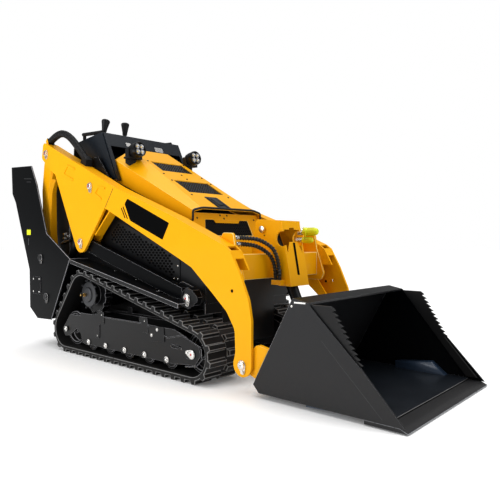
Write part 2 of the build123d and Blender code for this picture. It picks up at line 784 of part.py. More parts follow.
def cylinder(low, top, barrel_radius, rod_radius, barrel_length, rod_start, y, half):
    """Barrel from one pin and rod to the other, both in the X-Z plane at y."""
    eye = pin_radius + 11
    dx, dz = top[0] - low[0], top[1] - low[1]
    reach = hypot(dx, dz)
    ux, uz = dx / reach, dz / reach

    def point(distance):
        return (low[0] + ux * distance, y, low[1] + uz * distance)

    barrel = bar_between(point(eye - 4), point(barrel_length), barrel_radius)
    barrel += bar_between(point(barrel_length - 34), point(barrel_length), barrel_radius + 1.5)
    barrel += slab(disc(*low, eye + 6), y - half, y + half)
    barrel -= slab(disc(*low, pin_radius + pin_play), y - half, y + half)
    barrel -= bar_between(point(eye + 30), point(barrel_length), rod_radius + 0.5)
    rod = bar_between(point(rod_start), point(reach - eye + 4), rod_radius)
    rod += slab(disc(*top, eye), y - half, y + half)
    rod -= slab(disc(*top, pin_radius + 3), y - half, y + half)
    return barrel, rod


# ---------------------------------------------------------------- hitch and bucket
def back_point(share):
    """A point on the bucket's back, as a share of the way from its top to its foot."""
    x0, z0 = bucket_back_top
    x1, z1 = bucket_back_low
    return (x0 + (x1 - x0) * share, z0 + (z1 - z0) * share)


def attach_plate():
    """Back plate that carries the bucket, with the tilt cylinder's two ears."""
    face = strip([back_point(0.04), back_point(0.95)], hitch_plate)
    body = slab(face, -hitch_half_width, hitch_half_width)
    ux, uz = tilt_pin_low
    eye_outline = [(ux, uz, 28.0)]
    for share in (0.30, 0.62):
        (x0, z0), (x1, z1) = back_point(share), shift_back(share)
        eye_outline.append(((x0 + x1) / 2, (z0 + z1) / 2, hitch_plate / 2 - 1))
    ear = hull_of(eye_outline)
    for sign in (-1, 1):
        inner, outer = tilt_eye_half + 6, tilt_eye_half + 20
        low, high = sorted((sign * inner, sign * outer))
        body += slab(ear, low, high)
        low, high = sorted((sign * outer, sign * (outer + 8)))
        body += slab(disc(ux, uz, pin_radius + 3), low, high)
    return body


def hitch_lug():
    """Lug on the hitch plate that hangs on the arm's front pin."""
    hx, hz = hitch_pin
    outer = arm_room_outer - link_gap
    plate = profile([(hx + 8, hz + 34, 0), (hx + 66, hz + 92, 20), (*shift_back(0.62), 0),
                     (*shift_back(0.97), 0), (hx + 30, hz - 40, 20), (hx, hz - 34, 0)])
    plate += disc(hx, hz, 34.0)
    plate -= disc(hx, hz, pin_radius + pin_play)
    body = right_slab(plate, outer, outer - 24)
    return body


def shift_back(share):
    """A point on the rear face of the hitch plate."""
    x0, z0 = bucket_back_top
    x1, z1 = bucket_back_low
    run = hypot(x1 - x0, z1 - z0)
    x, z = back_point(share)
    return (x + (z1 - z0) / run * hitch_plate, z - (x1 - x0) / run * hitch_plate)


def bucket_side_rows():
    """Outline of a bucket side plate: x, z, corner radius."""
    return [(703, 54, 0), (733, 22, 0), (1368, bucket_clearance + edge_thickness, 0),
            (1199, 200, 0), (975, 410, 0), (904, 424, 0)]


def bucket():
    inner = bucket_half_width - bucket_plate
    side = profile(bucket_side_rows())
    shell_line = [bucket_back_top, bucket_back_low, (733, 22), (1300, bucket_clearance + edge_thickness)]
    shell = slab(strip(shell_line, -bucket_plate), -inner, inner)
    lip = slab(strip([bucket_back_top, (972, 410)], bucket_plate), -inner, inner)
    body = shell + lip
    for sign in (-1, 1):
        low, high = sorted((sign * bucket_half_width, sign * inner))
        body += slab(side, low, high)
    return body


def cutting_edge():
    blade = profile([(1215, bucket_clearance, 0), (1380, bucket_clearance, 0),
                     (1380, bucket_clearance + 3, 0), (1350, bucket_clearance + edge_thickness, 0),
                     (1215, bucket_clearance + edge_thickness, 0)])
    return slab(blade, -bucket_half_width, bucket_half_width)


def side_cutter():
    """Serrated plate bolted inside the bucket's side."""
    start, end = (1074, 405), (1199, 200)
    dx, dz = end[0] - start[0], end[1] - start[1]
    teeth = [start]
    for i in range(side_cutter_teeth):
        a = (i + 0.75) / side_cutter_teeth
        b = (i + 1.0) / side_cutter_teeth
        teeth.append((start[0] + dx * a + 10, start[1] + dz * a))
        teeth.append((start[0] + dx * b - 6, start[1] + dz * b))
    rows = [(985, 405, 0), *[(x, z, 0) for x, z in teeth], (1340, 34, 0), (1290, 34, 0)]
    inner = bucket_half_width - bucket_plate
    return right_slab(profile(rows), inner, inner - 10)


# ---------------------------------------------------------------- assembly
def build():
    nodes = {}

    def pair(name, solid):
        nodes[name + "_right"] = solid
        nodes[name + "_left"] = mirrored(solid) if not isinstance(solid, list) else [
            mirrored(piece) for piece in solid]

    for name, solid in (
        ("track", track()), ("sprocket", sprocket()), ("front_idler", idler(front_idler_x)),
        ("rear_idler", idler(rear_idler_x)), ("rollers", rollers()), ("track_frame", track_frame()),
        ("track_guard", track_guard()), ("upright", upright()), ("side_panel", side_panel()),
        ("side_screen", side_screen()), ("work_lamp", work_lamp()), ("loader_arm", loader_arm()),
        ("rear_link", rear_link()), ("lower_link", lower_link()), ("link_post", link_post()),
        ("side_cutter", side_cutter()), ("hitch_lug", hitch_lug()), ("grab_handle", grab_handle()),
    ):
        pair(name, solid)
    y_mid = -(link_outer_y + link_inner_y) / 2
    half = (link_outer_y - link_inner_y) / 2
    barrel, rod = cylinder(lift_pin_low, lift_pin_top, lift_barrel_radius, lift_rod_radius,
                           lift_barrel_length, 120, y_mid, half)
    pair("lift_barrel", barrel)
    pair("lift_rod", rod)
    nodes["loader_arm_right"] = right_arm()
    barrel, rod = cylinder(tilt_pin_top, tilt_pin_low, tilt_barrel_radius, tilt_rod_radius,
                           tilt_barrel_length, 116, 0.0, tilt_eye_half)
    nodes["tilt_barrel"] = barrel
    nodes["tilt_rod"] = rod
    nodes["chassis"] = chassis()
    nodes["engine_block"] = engine_block()
    nodes["operator_platform"] = operator_platform()
    nodes["rear_cover"] = rear_cover()
    nodes["hood"] = hood()
    nodes["hood_vents"] = hood_vents()
    nodes["dash"] = dash()
    nodes["front_panel"] = front_panel()
    nodes["front_grille"] = front_grille()
    nodes["control_levers"] = [lever(-185, 11), lever(-33, 6)]
    nodes["cross_member"] = cross_member()
    nodes["tilt_bracket"] = tilt_bracket()
    nodes["arm_hoses"] = arm_hoses()
    nodes["rear_hoses"] = rear_hose()
    nodes["couplers"] = couplers()
    nodes["attach_plate"] = attach_plate()
    nodes["bucket"] = bucket()
    nodes["cutting_edge"] = cutting_edge()
    return nodes


os.makedirs("parts", exist_ok=True)
for node, shape in build().items():
    pieces = shape if isinstance(shape, list) else shape.solids()
    whole = pieces[0] if len(pieces) == 1 else Compound(children=list(pieces))
    export_step(whole, f"parts/{node}.step")
    print(f"{node:22s} {len(pieces)} solid(s)")
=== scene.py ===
# %% [markdown]
# # A compact track loader, dressed for its portrait
#
# The frame holds the machine as plain CAD solids: arms, links, tracks, body and
# bucket, each in its own place, in metres, with +X forward and +Z up. This lesson
# turns them into the painted, bolted and greased machine that stands in a yard.
# Every finished piece rides on the body that carries it, so that the arms can
# still rise and the bucket can still tip when the lesson is over.

# %% Load the frame
import json
import math
import bmesh
import bpy
from mathutils import Matrix, Vector


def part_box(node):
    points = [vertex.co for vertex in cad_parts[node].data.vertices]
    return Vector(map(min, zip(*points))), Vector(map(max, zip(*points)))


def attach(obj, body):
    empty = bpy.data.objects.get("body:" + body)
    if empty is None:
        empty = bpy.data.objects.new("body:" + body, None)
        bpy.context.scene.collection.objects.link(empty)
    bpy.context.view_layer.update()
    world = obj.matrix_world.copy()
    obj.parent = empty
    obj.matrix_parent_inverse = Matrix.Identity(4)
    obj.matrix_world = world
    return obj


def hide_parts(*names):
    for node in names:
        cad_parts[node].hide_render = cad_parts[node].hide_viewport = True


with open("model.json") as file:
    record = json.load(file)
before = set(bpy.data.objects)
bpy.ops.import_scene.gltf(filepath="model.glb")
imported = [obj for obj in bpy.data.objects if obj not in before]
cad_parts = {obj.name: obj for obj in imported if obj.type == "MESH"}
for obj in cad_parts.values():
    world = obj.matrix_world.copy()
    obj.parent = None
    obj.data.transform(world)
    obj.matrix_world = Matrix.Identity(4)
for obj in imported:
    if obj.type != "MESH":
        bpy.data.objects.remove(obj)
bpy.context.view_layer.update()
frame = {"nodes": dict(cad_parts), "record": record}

# %% [markdown]
# ## The camera
#
# The camera stands near the front corner of the machine, at about hip height and
# almost level. A normal lens keeps the bucket from looking larger than it is. The
# camera is set first, so that each piece can be judged from it as it is made.

# %% Camera
CAMERA_PLACE = (2.141, -2.067, 0.650)
CAMERA_TURN = (88.93, 0.0, 41.2)
CAMERA_LENS = 38.46

bpy.ops.object.select_all(action="DESELECT")
bpy.ops.object.camera_add(location=CAMERA_PLACE, rotation=[math.radians(a) for a in CAMERA_TURN])
camera = bpy.context.object
camera.data.sensor_width = 36.0
camera.data.lens = CAMERA_LENS
camera.data.clip_start, camera.data.clip_end = 0.05, 60.0
bpy.context.scene.camera = camera
print("camera", CAMERA_PLACE, "lens", CAMERA_LENS)

# %% [markdown]
# ## The studio
#
# Gloss paint looks like paint because of what it mirrors, so the room matters as
# much as the paint. A broad sun, as soft as an overcast sky, lights the white
# floor evenly from above and behind, and its shadow falls toward the camera. A
# large soft box stands low at the camera's left for the arm, and a smaller one at
# the right for the bucket. The backdrop is white to the eye but dim to mirrors,
# or every black plate would turn grey.

# %% Lights
SOFT_BOXES = [
    # name, place, target, size, watts
    ("key", (-1.2, -4.6, 1.9), (-0.3, -0.3, 0.6), 2.6, 95.0),
    ("side", (4.2, 0.9, 2.2), (0.5, 0.0, 0.3), 1.8, 30.0),
]
SUN_PLACE = (-0.4, 0.5, 5.0)


def aimed(light, place, target):
    """Turn a light at place toward target."""
    light.rotation_euler = (Vector(target) - Vector(place)).to_track_quat("-Z", "Y").to_euler()


for name, place, target, size, watts in SOFT_BOXES:
    bpy.ops.object.light_add(type="AREA", location=place)
    bpy.context.object.name = "light_" + name
    bpy.context.object.data.size = size
    bpy.context.object.data.energy = watts
    aimed(bpy.context.object, place, target)
bpy.ops.object.light_add(type="SUN", location=SUN_PLACE)
bpy.context.object.name = "light_overhead"
bpy.context.object.data.energy = 2.5
bpy.context.object.data.angle = math.radians(75)
aimed(bpy.context.object, SUN_PLACE, (0.0, 0.0, 0.0))
print(len(SOFT_BOXES) + 1, "lights")

# %% Floor and backdrop
bpy.ops.mesh.primitive_plane_add(size=60.0)
floor = bpy.context.object
floor.name = "studio_floor"
SKY_TO_EYE, SKY_TO_MIRRORS = 1.0, 0.40
world = bpy.context.scene.world or bpy.data.worlds.new("studio")
bpy.context.scene.world = world
world.use_nodes = True
sky = world.node_tree
backdrop = sky.nodes["Background"]
backdrop.inputs["Color"].default_value = (1.0, 1.0, 1.0, 1.0)
which_ray = sky.nodes.new("ShaderNodeLightPath")
strength = sky.nodes.new("ShaderNodeMapRange")
strength.inputs["To Min"].default_value = SKY_TO_MIRRORS
strength.inputs["To Max"].default_value = SKY_TO_EYE
sky.links.new(which_ray.outputs["Is Camera Ray"], strength.inputs["Value"])
sky.links.new(strength.outputs["Result"], backdrop.inputs["Strength"])
bpy.context.scene.view_settings.view_transform = "Standard"
bpy.context.scene.view_settings.gamma = 0.88
print("backdrop", SKY_TO_EYE, "to the eye,", SKY_TO_MIRRORS, "to mirrors")

# %% [markdown]
# ## Effects shared by the finishes
#
# Paint, plate and rubber all collect dust, and each has a fine relief of its
# own: paint has orange peel, moulded rubber a coarse skin, cast parts a grain.
# Each effect is a node group with named sockets, built once, and every material
# sets it with its own numbers. All of them read Object coordinates, which are
# the same for every piece because every piece has its origin at the ground.

# %% Node group helpers
def new_group(name, inputs, outputs):
    """An empty shader group; inputs are rows of name, kind and value."""
    group = bpy.data.node_groups.new(name, "ShaderNodeTree")
    for label, kind, value in inputs:
        socket = group.interface.new_socket(label, in_out="INPUT", socket_type=kind)
        socket.default_value = value
    for label, kind in outputs:
        group.interface.new_socket(label, in_out="OUTPUT", socket_type=kind)
    start = group.nodes.new("NodeGroupInput")
    end = group.nodes.new("NodeGroupOutput")
    return group, start, end


def add_node(tree, kind, **values):
    """A node with its properties or input sockets set by name."""
    node = tree.nodes.new(kind)
    for label, value in values.items():
        key = label.replace("_", " ")
        if key in node.inputs:
            node.inputs[key].default_value = value
        else:
            setattr(node, label, value)
    return node


FLOAT, COLOUR, VECTOR = "NodeSocketFloat", "NodeSocketColor", "NodeSocketVector"

# %% Math, Map Range and Mix in one call
def maths(tree, operation, a, b, c=None):
    """Output of a Math node; each input is a number or a socket."""
    node = add_node(tree, "ShaderNodeMath", operation=operation)
    for socket, value in zip(node.inputs, (a, b, c)):
        if isinstance(value, bpy.types.NodeSocket):
            tree.links.new(value, socket)
        elif value is not None:
            socket.default_value = value
    return node.outputs[0]


def mapped(tree, value, limits):
    """Output of a Map Range node; limits are numbers or sockets by name."""
    node = add_node(tree, "ShaderNodeMapRange")
    tree.links.new(value, node.inputs["Value"])
    for label, limit in limits.items():
        if isinstance(limit, bpy.types.NodeSocket):
            tree.links.new(limit, node.inputs[label])
        else:
            node.inputs[label].default_value = limit
    return node.outputs["Result"]


def blended(tree, share, first, second):
    """Output of a colour Mix node between two colour sockets."""
    node = add_node(tree, "ShaderNodeMix", data_type="RGBA")
    for slot_number, socket in ((0, share), (6, first), (7, second)):
        tree.links.new(socket, node.inputs[slot_number])
    return node.outputs[2]

# %% Group: fine relief
def relief_group():
    """Bump normal from a noise of a named grain size."""
    group, start, end = new_group(
        "fine_relief", [("Grain", FLOAT, 400.0), ("Depth", FLOAT, 0.1), ("Height", FLOAT, 0.001)],
        [("Normal", VECTOR)])
    place = group.nodes.new("ShaderNodeTexCoord")
    noise = add_node(group, "ShaderNodeTexNoise", Detail=3.0, Roughness=0.6)
    bump = group.nodes.new("ShaderNodeBump")
    for source, output, goal, socket in (
            (place, "Object", noise, "Vector"), (start, "Grain", noise, "Scale"),
            (start, "Depth", bump, "Strength"), (start, "Height", bump, "Distance"),
            (noise, "Fac", bump, "Height"), (bump, "Normal", end, "Normal")):
        group.links.new(source.outputs[output], goal.inputs[socket])
    return group


fine_relief = relief_group()

# %% Group: dust, colour drift, and edges lightened as rubbed paint and painted highlight
def weather_group():
    """Colour that drifts, lightens on its edges as rubbed paint and as a painted highlight, and greys with
    dust toward the ground.
    """
    group, start, end = new_group(
        "weather",
        [("Base", COLOUR, (0.5, 0.5, 0.5, 1)), ("Dust", COLOUR, (0.35, 0.31, 0.26, 1)),
         ("Drift", FLOAT, 0.1), ("Dust Amount", FLOAT, 0.2), ("Dust Height", FLOAT, 0.35),
         ("Rough", FLOAT, 0.4), ("Rough Spread", FLOAT, 0.1),
         ("Rub And Highlight Colour", COLOUR, (0.5, 0.5, 0.5, 1)), ("Rub And Highlight Amount", FLOAT, 0.0)],
        [("Colour", COLOUR), ("Roughness", FLOAT)])
    given, link = start.outputs, group.links.new
    place = group.nodes.new("ShaderNodeTexCoord").outputs["Object"]
    split = group.nodes.new("ShaderNodeSeparateXYZ")
    large = add_node(group, "ShaderNodeTexNoise", Scale=5.0, Detail=4.0, Roughness=0.6)
    small = add_node(group, "ShaderNodeTexNoise", Scale=60.0, Detail=5.0, Roughness=0.7)
    for node in (split, large, small):
        link(place, node.inputs["Vector"])
    low = mapped(group, split.outputs["Z"],
                 {"From Min": 0.0, "From Max": given["Dust Height"], "To Min": 1.0, "To Max": 0.0})
    amount = maths(group, "MULTIPLY", maths(group, "MULTIPLY", small.outputs["Fac"], low),
                   given["Dust Amount"])
    spread = maths(group, "SUBTRACT", large.outputs["Fac"], 0.5)
    shade = maths(group, "MULTIPLY_ADD", maths(group, "MULTIPLY", spread, given["Drift"]), 1.0, 1.0)
    tint = add_node(group, "ShaderNodeVectorMath", operation="SCALE")
    link(given["Base"], tint.inputs[0])
    link(shade, tint.inputs["Scale"])
    # Bevel faces mix toward a lighter edge colour: partly rubbed paint, partly a painted highlight along
    # every edge.
    edge = add_node(group, "ShaderNodeAttribute", attribute_name="edge")
    breaks = mapped(group, small.outputs["Fac"], {"From Min": 0.30, "From Max": 0.44})
    rub_and_highlight_mask = maths(group, "MULTIPLY", maths(group, "MULTIPLY", edge.outputs["Fac"], breaks), given["Rub And Highlight Amount"])
    weathered_with_highlight = blended(group, rub_and_highlight_mask, tint.outputs[0], given["Rub And Highlight Colour"])
    link(blended(group, amount, weathered_with_highlight, given["Dust"]), end.inputs["Colour"])
    rough = maths(group, "MULTIPLY_ADD", spread, given["Rough Spread"], given["Rough"])
    dusty = maths(group, "ADD", rough, amount)
    dusty.node.use_clamp = True
    link(dusty, end.inputs["Roughness"])
    return group


weather = weather_group()
print("groups", [g.name for g in (fine_relief, weather)])

# %% [markdown]
# ## The finishes
#
# One function joins the two groups to a Principled BSDF. The table below gives
# each finish its colour, how even it is, how rough, and how deep its relief is.
# Numbers that are the same all over, such as the clear coat's roughness, sit on
# the shader's own sockets.

# %% Finish maker
def finish(name, colour, rough, *, spread=0.1, drift=0.1, dust=0.2, metallic=0.0, grain=400.0,
           depth=0.1, height=0.001, coat=0.0, coat_rough=0.06, specular=0.5,
           rub_and_highlight_colour=(0.3, 0.3, 0.3), wear=0.0):
    """A weathered material with a fine relief, its edges lightened as rubbed paint and as a painted
    highlight; returns it.
    """
    material = bpy.data.materials.new(name)
    material.use_nodes = True
    tree = material.node_tree
    shader = tree.nodes["Principled BSDF"]
    weathered_with_highlight, relief = (tree.nodes.new("ShaderNodeGroup") for _ in range(2))
    weathered_with_highlight.node_tree, relief.node_tree = weather, fine_relief
    for label, value in (("Base", (*colour, 1.0)), ("Drift", drift), ("Dust Amount", dust),
                         ("Rough", rough), ("Rough Spread", spread), ("Rub And Highlight Colour", (*rub_and_highlight_colour, 1.0)),
                         ("Rub And Highlight Amount", wear)):
        weathered_with_highlight.inputs[label].default_value = value
    for label, value in (("Grain", grain), ("Depth", depth), ("Height", height)):
        relief.inputs[label].default_value = value
    tree.links.new(weathered_with_highlight.outputs["Colour"], shader.inputs["Base Color"])
    tree.links.new(weathered_with_highlight.outputs["Roughness"], shader.inputs["Roughness"])
    tree.links.new(relief.outputs["Normal"], shader.inputs["Normal"])
    shader.inputs["Metallic"].default_value = metallic
    shader.inputs["Coat Weight"].default_value = coat
    shader.inputs["Coat Roughness"].default_value = coat_rough
    shader.inputs["Specular IOR Level"].default_value = specular
    return material

# %% Painted sheet
AMBER = (0.90, 0.44, 0.003)
# Pale yellow that the orange paint's edges turn to: a painted highlight along its folds and edges.
AMBER_EDGE_HIGHLIGHT = (1.0, 0.84, 0.38)


def black(name, colour, rough, rub_and_highlight_colour, **values):
    """Black paint on sheet, its edges lightened as rubbed paint and as a painted highlight; a given value
    replaces the usual one.
    """
    usual = {"drift": 0.3, "grain": 500.0, "height": 0.0006, "coat_rough": 0.20, "wear": 1.0}
    return finish(name, colour, rough, rub_and_highlight_colour=rub_and_highlight_colour, **{**usual, **values})


orange_paint = finish("orange_paint", AMBER, 0.40, spread=0.06, dust=0.08, grain=220.0, depth=0.04,
                      coat=0.14, coat_rough=0.08, specular=0.09, rub_and_highlight_colour=AMBER_EDGE_HIGHLIGHT, wear=1.0)
# The blacks' edges lighten toward a grey, partly as rubbed paint and partly as a painted highlight.
black_paint = black("black_paint", (0.0052, 0.0056, 0.0068), 0.36, (0.42, 0.42, 0.44), dust=0.05,
                    depth=0.14, coat=0.06, specular=0.26)
gloss_black = black("gloss_black", (0.004, 0.0043, 0.0055), 0.20, (0.30, 0.30, 0.32), spread=0.08,
                    dust=0.03, grain=300.0, depth=0.08, coat=0.12, coat_rough=0.10, specular=0.30, wear=0.9)
deep_black = black("deep_black", (0.0022, 0.0027, 0.0036), 0.30, (0.36, 0.36, 0.38), dust=0.02,
                   coat=0.02, coat_rough=0.15, specular=0.06)
bucket_black = black("bucket_black", (0.0090, 0.0094, 0.0112), 0.38, (0.30, 0.31, 0.33), drift=0.35,
                     dust=0.04, depth=0.12, coat=0.06, specular=0.36, wear=0.9)
dash_black = black("dash_black", (0.0090, 0.0135, 0.0200), 0.34, (0.36, 0.37, 0.40), drift=0.35,
                   dust=0.02, coat=0.08, coat_rough=0.15, specular=0.36)
# Bluish blacks with strong drift paint the sky's reflection on the bucket's floor and on its gussets.
PAINTED_REFLECTION = {"spread": 0.15, "drift": 0.9, "dust": 0.03, "height": 0.0006, "coat_rough": 0.2}
floor_painted_reflection = finish("floor_painted_reflection", (0.0050, 0.0085, 0.0140), 0.30, coat=0.05, **PAINTED_REFLECTION)
blue_painted_reflection = finish("blue_painted_reflection", (0.020, 0.040, 0.075), 0.30, coat=0.10, specular=0.6, **PAINTED_REFLECTION)
# Near-black film for decals, and for the dark discs and sheets that paint the shade in holes.
decal_and_shade_black = finish("decal_and_shade_black", (0.0022, 0.0022, 0.0026), 0.55, spread=0.08, drift=0.2, dust=0.0,
                    grain=700.0, depth=0.05, specular=0.03)
red_paint = finish("red_paint", (0.55, 0.03, 0.02), 0.40, dust=0.0, grain=500.0)

# %% [markdown]
# ## Bare metal, moulded parts and rubber
#
# Plated steel is a plain metal with a little roughness. Moulded parts have a fine
# pebbled skin, and rubber is duller still; its edges are painted paler, partly as
# scuffing and partly as a painted highlight.

# %% Metal, plastic and rubber
def metal(name, colour, rough, **values):
    """Bare or plated metal, clean unless a value says otherwise."""
    return finish(name, colour, rough, metallic=1.0, **{"dust": 0.0, **values})


# The rubber's edges pale partly as scuffing and partly as a painted highlight on the lugs.
rubber = finish("track_rubber", (0.0065, 0.0065, 0.0072), 0.55, spread=0.2, drift=0.5, dust=0.05,
                grain=260.0, depth=0.3, specular=0.30, rub_and_highlight_colour=(0.22, 0.22, 0.22), wear=1.0)
hose_rubber = finish("hose_rubber", (0.010, 0.010, 0.011), 0.50, spread=0.15, dust=0.05,
                     grain=700.0, depth=0.3)
# The iron's edges lighten partly as rubbed metal and partly as a painted highlight.
iron = finish("dark_iron", (0.012, 0.0125, 0.014), 0.46, metallic=0.3, spread=0.2, dust=0.08,
              grain=300.0, depth=0.2, specular=0.35, rub_and_highlight_colour=(0.32, 0.32, 0.33), wear=1.0)
hub_grey = finish("hub_grey", (0.06, 0.062, 0.067), 0.42, metallic=0.4, spread=0.2, dust=0.1,
                  grain=300.0, depth=0.15)
steel = metal("steel", (0.42, 0.42, 0.43), 0.30, spread=0.2, dust=0.2, grain=700.0, depth=0.08)
chrome = metal("hard_chrome", (0.82, 0.82, 0.84), 0.10, spread=0.05, grain=900.0, depth=0.02)
zinc = metal("zinc_plate", (0.72, 0.71, 0.69), 0.26, grain=600.0, depth=0.05)
brass = metal("brass", (0.62, 0.42, 0.16), 0.30, grain=600.0, depth=0.05)
black_plastic = finish("black_plastic", (0.0070, 0.0070, 0.0078), 0.44, dust=0.03, grain=800.0,
                       depth=0.22, height=0.0005, specular=0.3, rub_and_highlight_colour=(0.05, 0.05, 0.05), wear=0.3)
spiral_plastic = finish("spiral_plastic", (0.035, 0.036, 0.040), 0.30, dust=0.0, grain=800.0, specular=0.6)
yellow_plastic = finish("yellow_plastic", (0.74, 0.78, 0.01), 0.36, dust=0.0, grain=500.0)
warm_lens = finish("warm_lens", (0.95, 0.78, 0.36), 0.16, spread=0.05, dust=0.0, grain=300.0,
                   coat=1.0, coat_rough=0.03)

FINISH_OF_SLOT = {
    "orange_paint": orange_paint, "black_paint": black_paint, "rubber": rubber, "steel": steel,
    "chrome": chrome, "iron": iron, "black_plastic": black_plastic, "zinc": zinc,
    "hose_rubber": hose_rubber,
}
print(len(FINISH_OF_SLOT), "finishes")

# %% Which solid takes which finish
slot_of_node = {row["node"]: row["material_slot"] for row in frame["record"]["subparts"]}
body_of_node = {}
for body, members in frame["record"]["behaviour"]["bodies"].items():
    for node in members:
        body_of_node[node] = body
for node, solid in frame["nodes"].items():
    solid.data.materials.clear()
    solid.data.materials.append(FINISH_OF_SLOT[slot_of_node[node]])
print(len(slot_of_node), "solids painted")

# %% [markdown]
# ## Handling a piece
#
# An operator works on whatever is selected, so each step starts by picking one
# object alone. A finished piece keeps its place in its mesh, with its origin at
# the ground, as the solids of the frame do: then every pattern lies still on it.

# %% Pick, settle, copy and join
def pick(piece):
    """Select one object alone and make it active."""
    bpy.ops.object.select_all(action="DESELECT")
    piece.select_set(True)
    bpy.context.view_layer.objects.active = piece
    return piece


def settle(piece):
    """Move an object's place, turn and size into its mesh."""
    pick(piece)
    bpy.ops.object.transform_apply(location=True, rotation=True, scale=True)
    return piece


def twin(piece):
    """A copy of an object with a mesh of its own."""
    copy = piece.copy()
    copy.data = piece.data.copy()
    bpy.context.scene.collection.objects.link(copy)
    return copy


def joined(pieces):
    """Several settled pieces made one."""
    bpy.ops.object.select_all(action="DESELECT")
    for piece in pieces:
        piece.select_set(True)
    bpy.context.view_layer.objects.active = pieces[0]
    bpy.ops.object.join()
    return bpy.context.object


def to_mesh(piece):
    """Turn a curve into a mesh."""
    pick(piece)
    bpy.ops.object.convert(target="MESH")
    return bpy.context.object

# %% Hand over
def hand_over(piece, name, body, slot, material=None):
    """Name a settled piece, paint it and let it ride on a body."""
    settle(piece)
    piece.name = name
    piece.data.materials.clear()
    piece.data.materials.append(material or FINISH_OF_SLOT[slot])
    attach(piece, body)
    return piece

# %% [markdown]
# ## Shading and bevels
#
# Flat faces have to stay flat in the shading, and only the narrow bevel between
# them may turn the light. Weighted normals do that. The bevel gives its new faces
# a number, from which an attribute is written that tells the paint where to turn
# lighter, partly as rubbed paint and partly as a painted highlight.

# %% Smooth and soften
SHARP = 28.0   # degrees; flatter edges than this are never bevelled


def smooth(piece, angle=40.0):
    """Round shading across shallow edges, with the flat faces kept flat."""
    pick(piece)
    bpy.ops.object.shade_smooth_by_angle(angle=math.radians(angle))
    even = piece.modifiers.new("even", "WEIGHTED_NORMAL")
    even.keep_sharp = True
    bpy.ops.object.modifier_apply(modifier="even")
    return piece


def soften(piece, width, segments=2, clamp=True):
    """Bevel every edge sharper than SHARP, and mark the new faces as edge."""
    pick(piece)
    piece.data.materials.clear()
    piece.data.materials.append(None)
    piece.data.materials.append(None)
    round_off = piece.modifiers.new("round_off", "BEVEL")
    round_off.width = width
    round_off.segments = segments
    round_off.limit_method = "ANGLE"
    round_off.angle_limit = math.radians(SHARP)
    round_off.material = 1
    round_off.use_clamp_overlap = clamp
    bpy.ops.object.modifier_apply(modifier="round_off")
    mark = piece.data.attributes.new("edge", "FLOAT", "FACE")
    mark.data.foreach_set("value", [float(face.material_index) for face in piece.data.polygons])
    piece.data.polygons.foreach_set("material_index", [0] * len(piece.data.polygons))
    piece.data.materials.clear()
    return smooth(piece)

# %% Faces outward, and a box
def faced_out(piece, merge=None):
    """Turn a mesh's faces outward, after merging points nearer than a distance, if given."""
    pick(piece)
    bpy.ops.object.mode_set(mode="EDIT")
    bpy.ops.mesh.select_all(action="SELECT")
    if merge:
        bpy.ops.mesh.remove_doubles(threshold=merge)
    bpy.ops.mesh.normals_make_consistent(inside=False)
    bpy.ops.object.mode_set(mode="OBJECT")
    return piece


def block(place, size, edge, segments=2):
    """A box with softened edges, its middle at a place."""
    bpy.ops.object.select_all(action="DESELECT")
    bpy.ops.mesh.primitive_cube_add(size=1.0, location=place)
    bpy.context.object.scale = size
    return soften(settle(bpy.context.object), edge, segments)

# %% [markdown]
# ## Plate work with real edges
#
# A laser-cut plate leaves the grinder and the paint booth with a small round on
# every edge. That round, painted a lighter colour as a highlight, is what draws
# the bright lines along the arms. A CAD solid's edges are knife sharp. Each solid
# is copied, its loose triangles are merged and its flat faces joined, and then one
# Bevel modifier rounds it. The width is larger on castings and rubber than on
# folded sheet.

# %% Rounded copies of the CAD solids
WELD, FLAT_WITHIN = 0.00001, 0.6   # metres between merged points, degrees between joined faces


def rounded_copy(node, width):
    """A copy of a CAD solid with softened edges, standing in for it."""
    piece = twin(frame["nodes"][node])
    piece.parent = None
    for key in list(piece.keys()):
        del piece[key]
    pick(piece)
    bpy.ops.object.mode_set(mode="EDIT")
    bpy.ops.mesh.select_all(action="SELECT")
    bpy.ops.mesh.remove_doubles(threshold=WELD)
    bpy.ops.mesh.dissolve_limited(angle_limit=math.radians(FLAT_WITHIN))
    bpy.ops.object.mode_set(mode="OBJECT")
    soften(piece, width, clamp=not node.startswith(("track_right", "track_left")))
    hand_over(piece, node + "_finished", body_of_node[node], slot_of_node[node])
    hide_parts(node)
    return piece


EDGE_OF_PAIR = {
    "loader_arm": 0.0030, "rear_link": 0.0036, "lower_link": 0.0034, "link_post": 0.0026,
    "upright": 0.0020, "side_panel": 0.0022, "track_frame": 0.0030, "track_guard": 0.0018,
    "track": 0.0030, "sprocket": 0.0026, "front_idler": 0.0034, "rear_idler": 0.0034,
    "rollers": 0.0026, "side_cutter": 0.0018, "hitch_lug": 0.0024, "lift_barrel": 0.0016,
    "lift_rod": 0.0008, "grab_handle": 0.0012,
}
EDGE_OF_SINGLE = {
    "hood": 0.0040, "dash": 0.0030, "front_panel": 0.0018, "cross_member": 0.0034,
    "tilt_bracket": 0.0020, "attach_plate": 0.0024, "bucket": 0.0024, "cutting_edge": 0.0020,
    "chassis": 0.0020, "operator_platform": 0.0020, "rear_cover": 0.0024, "tilt_barrel": 0.0016,
    "tilt_rod": 0.0008,
}
edge_rows = [(stem + side, width) for stem, width in EDGE_OF_PAIR.items()
             for side in ("_right", "_left")]
edge_rows += list(EDGE_OF_SINGLE.items())
rounded = {node: rounded_copy(node, width) for node, width in edge_rows}
print(len(rounded), "solids rounded,",
      sum(len(piece.data.polygons) for piece in rounded.values()), "faces")

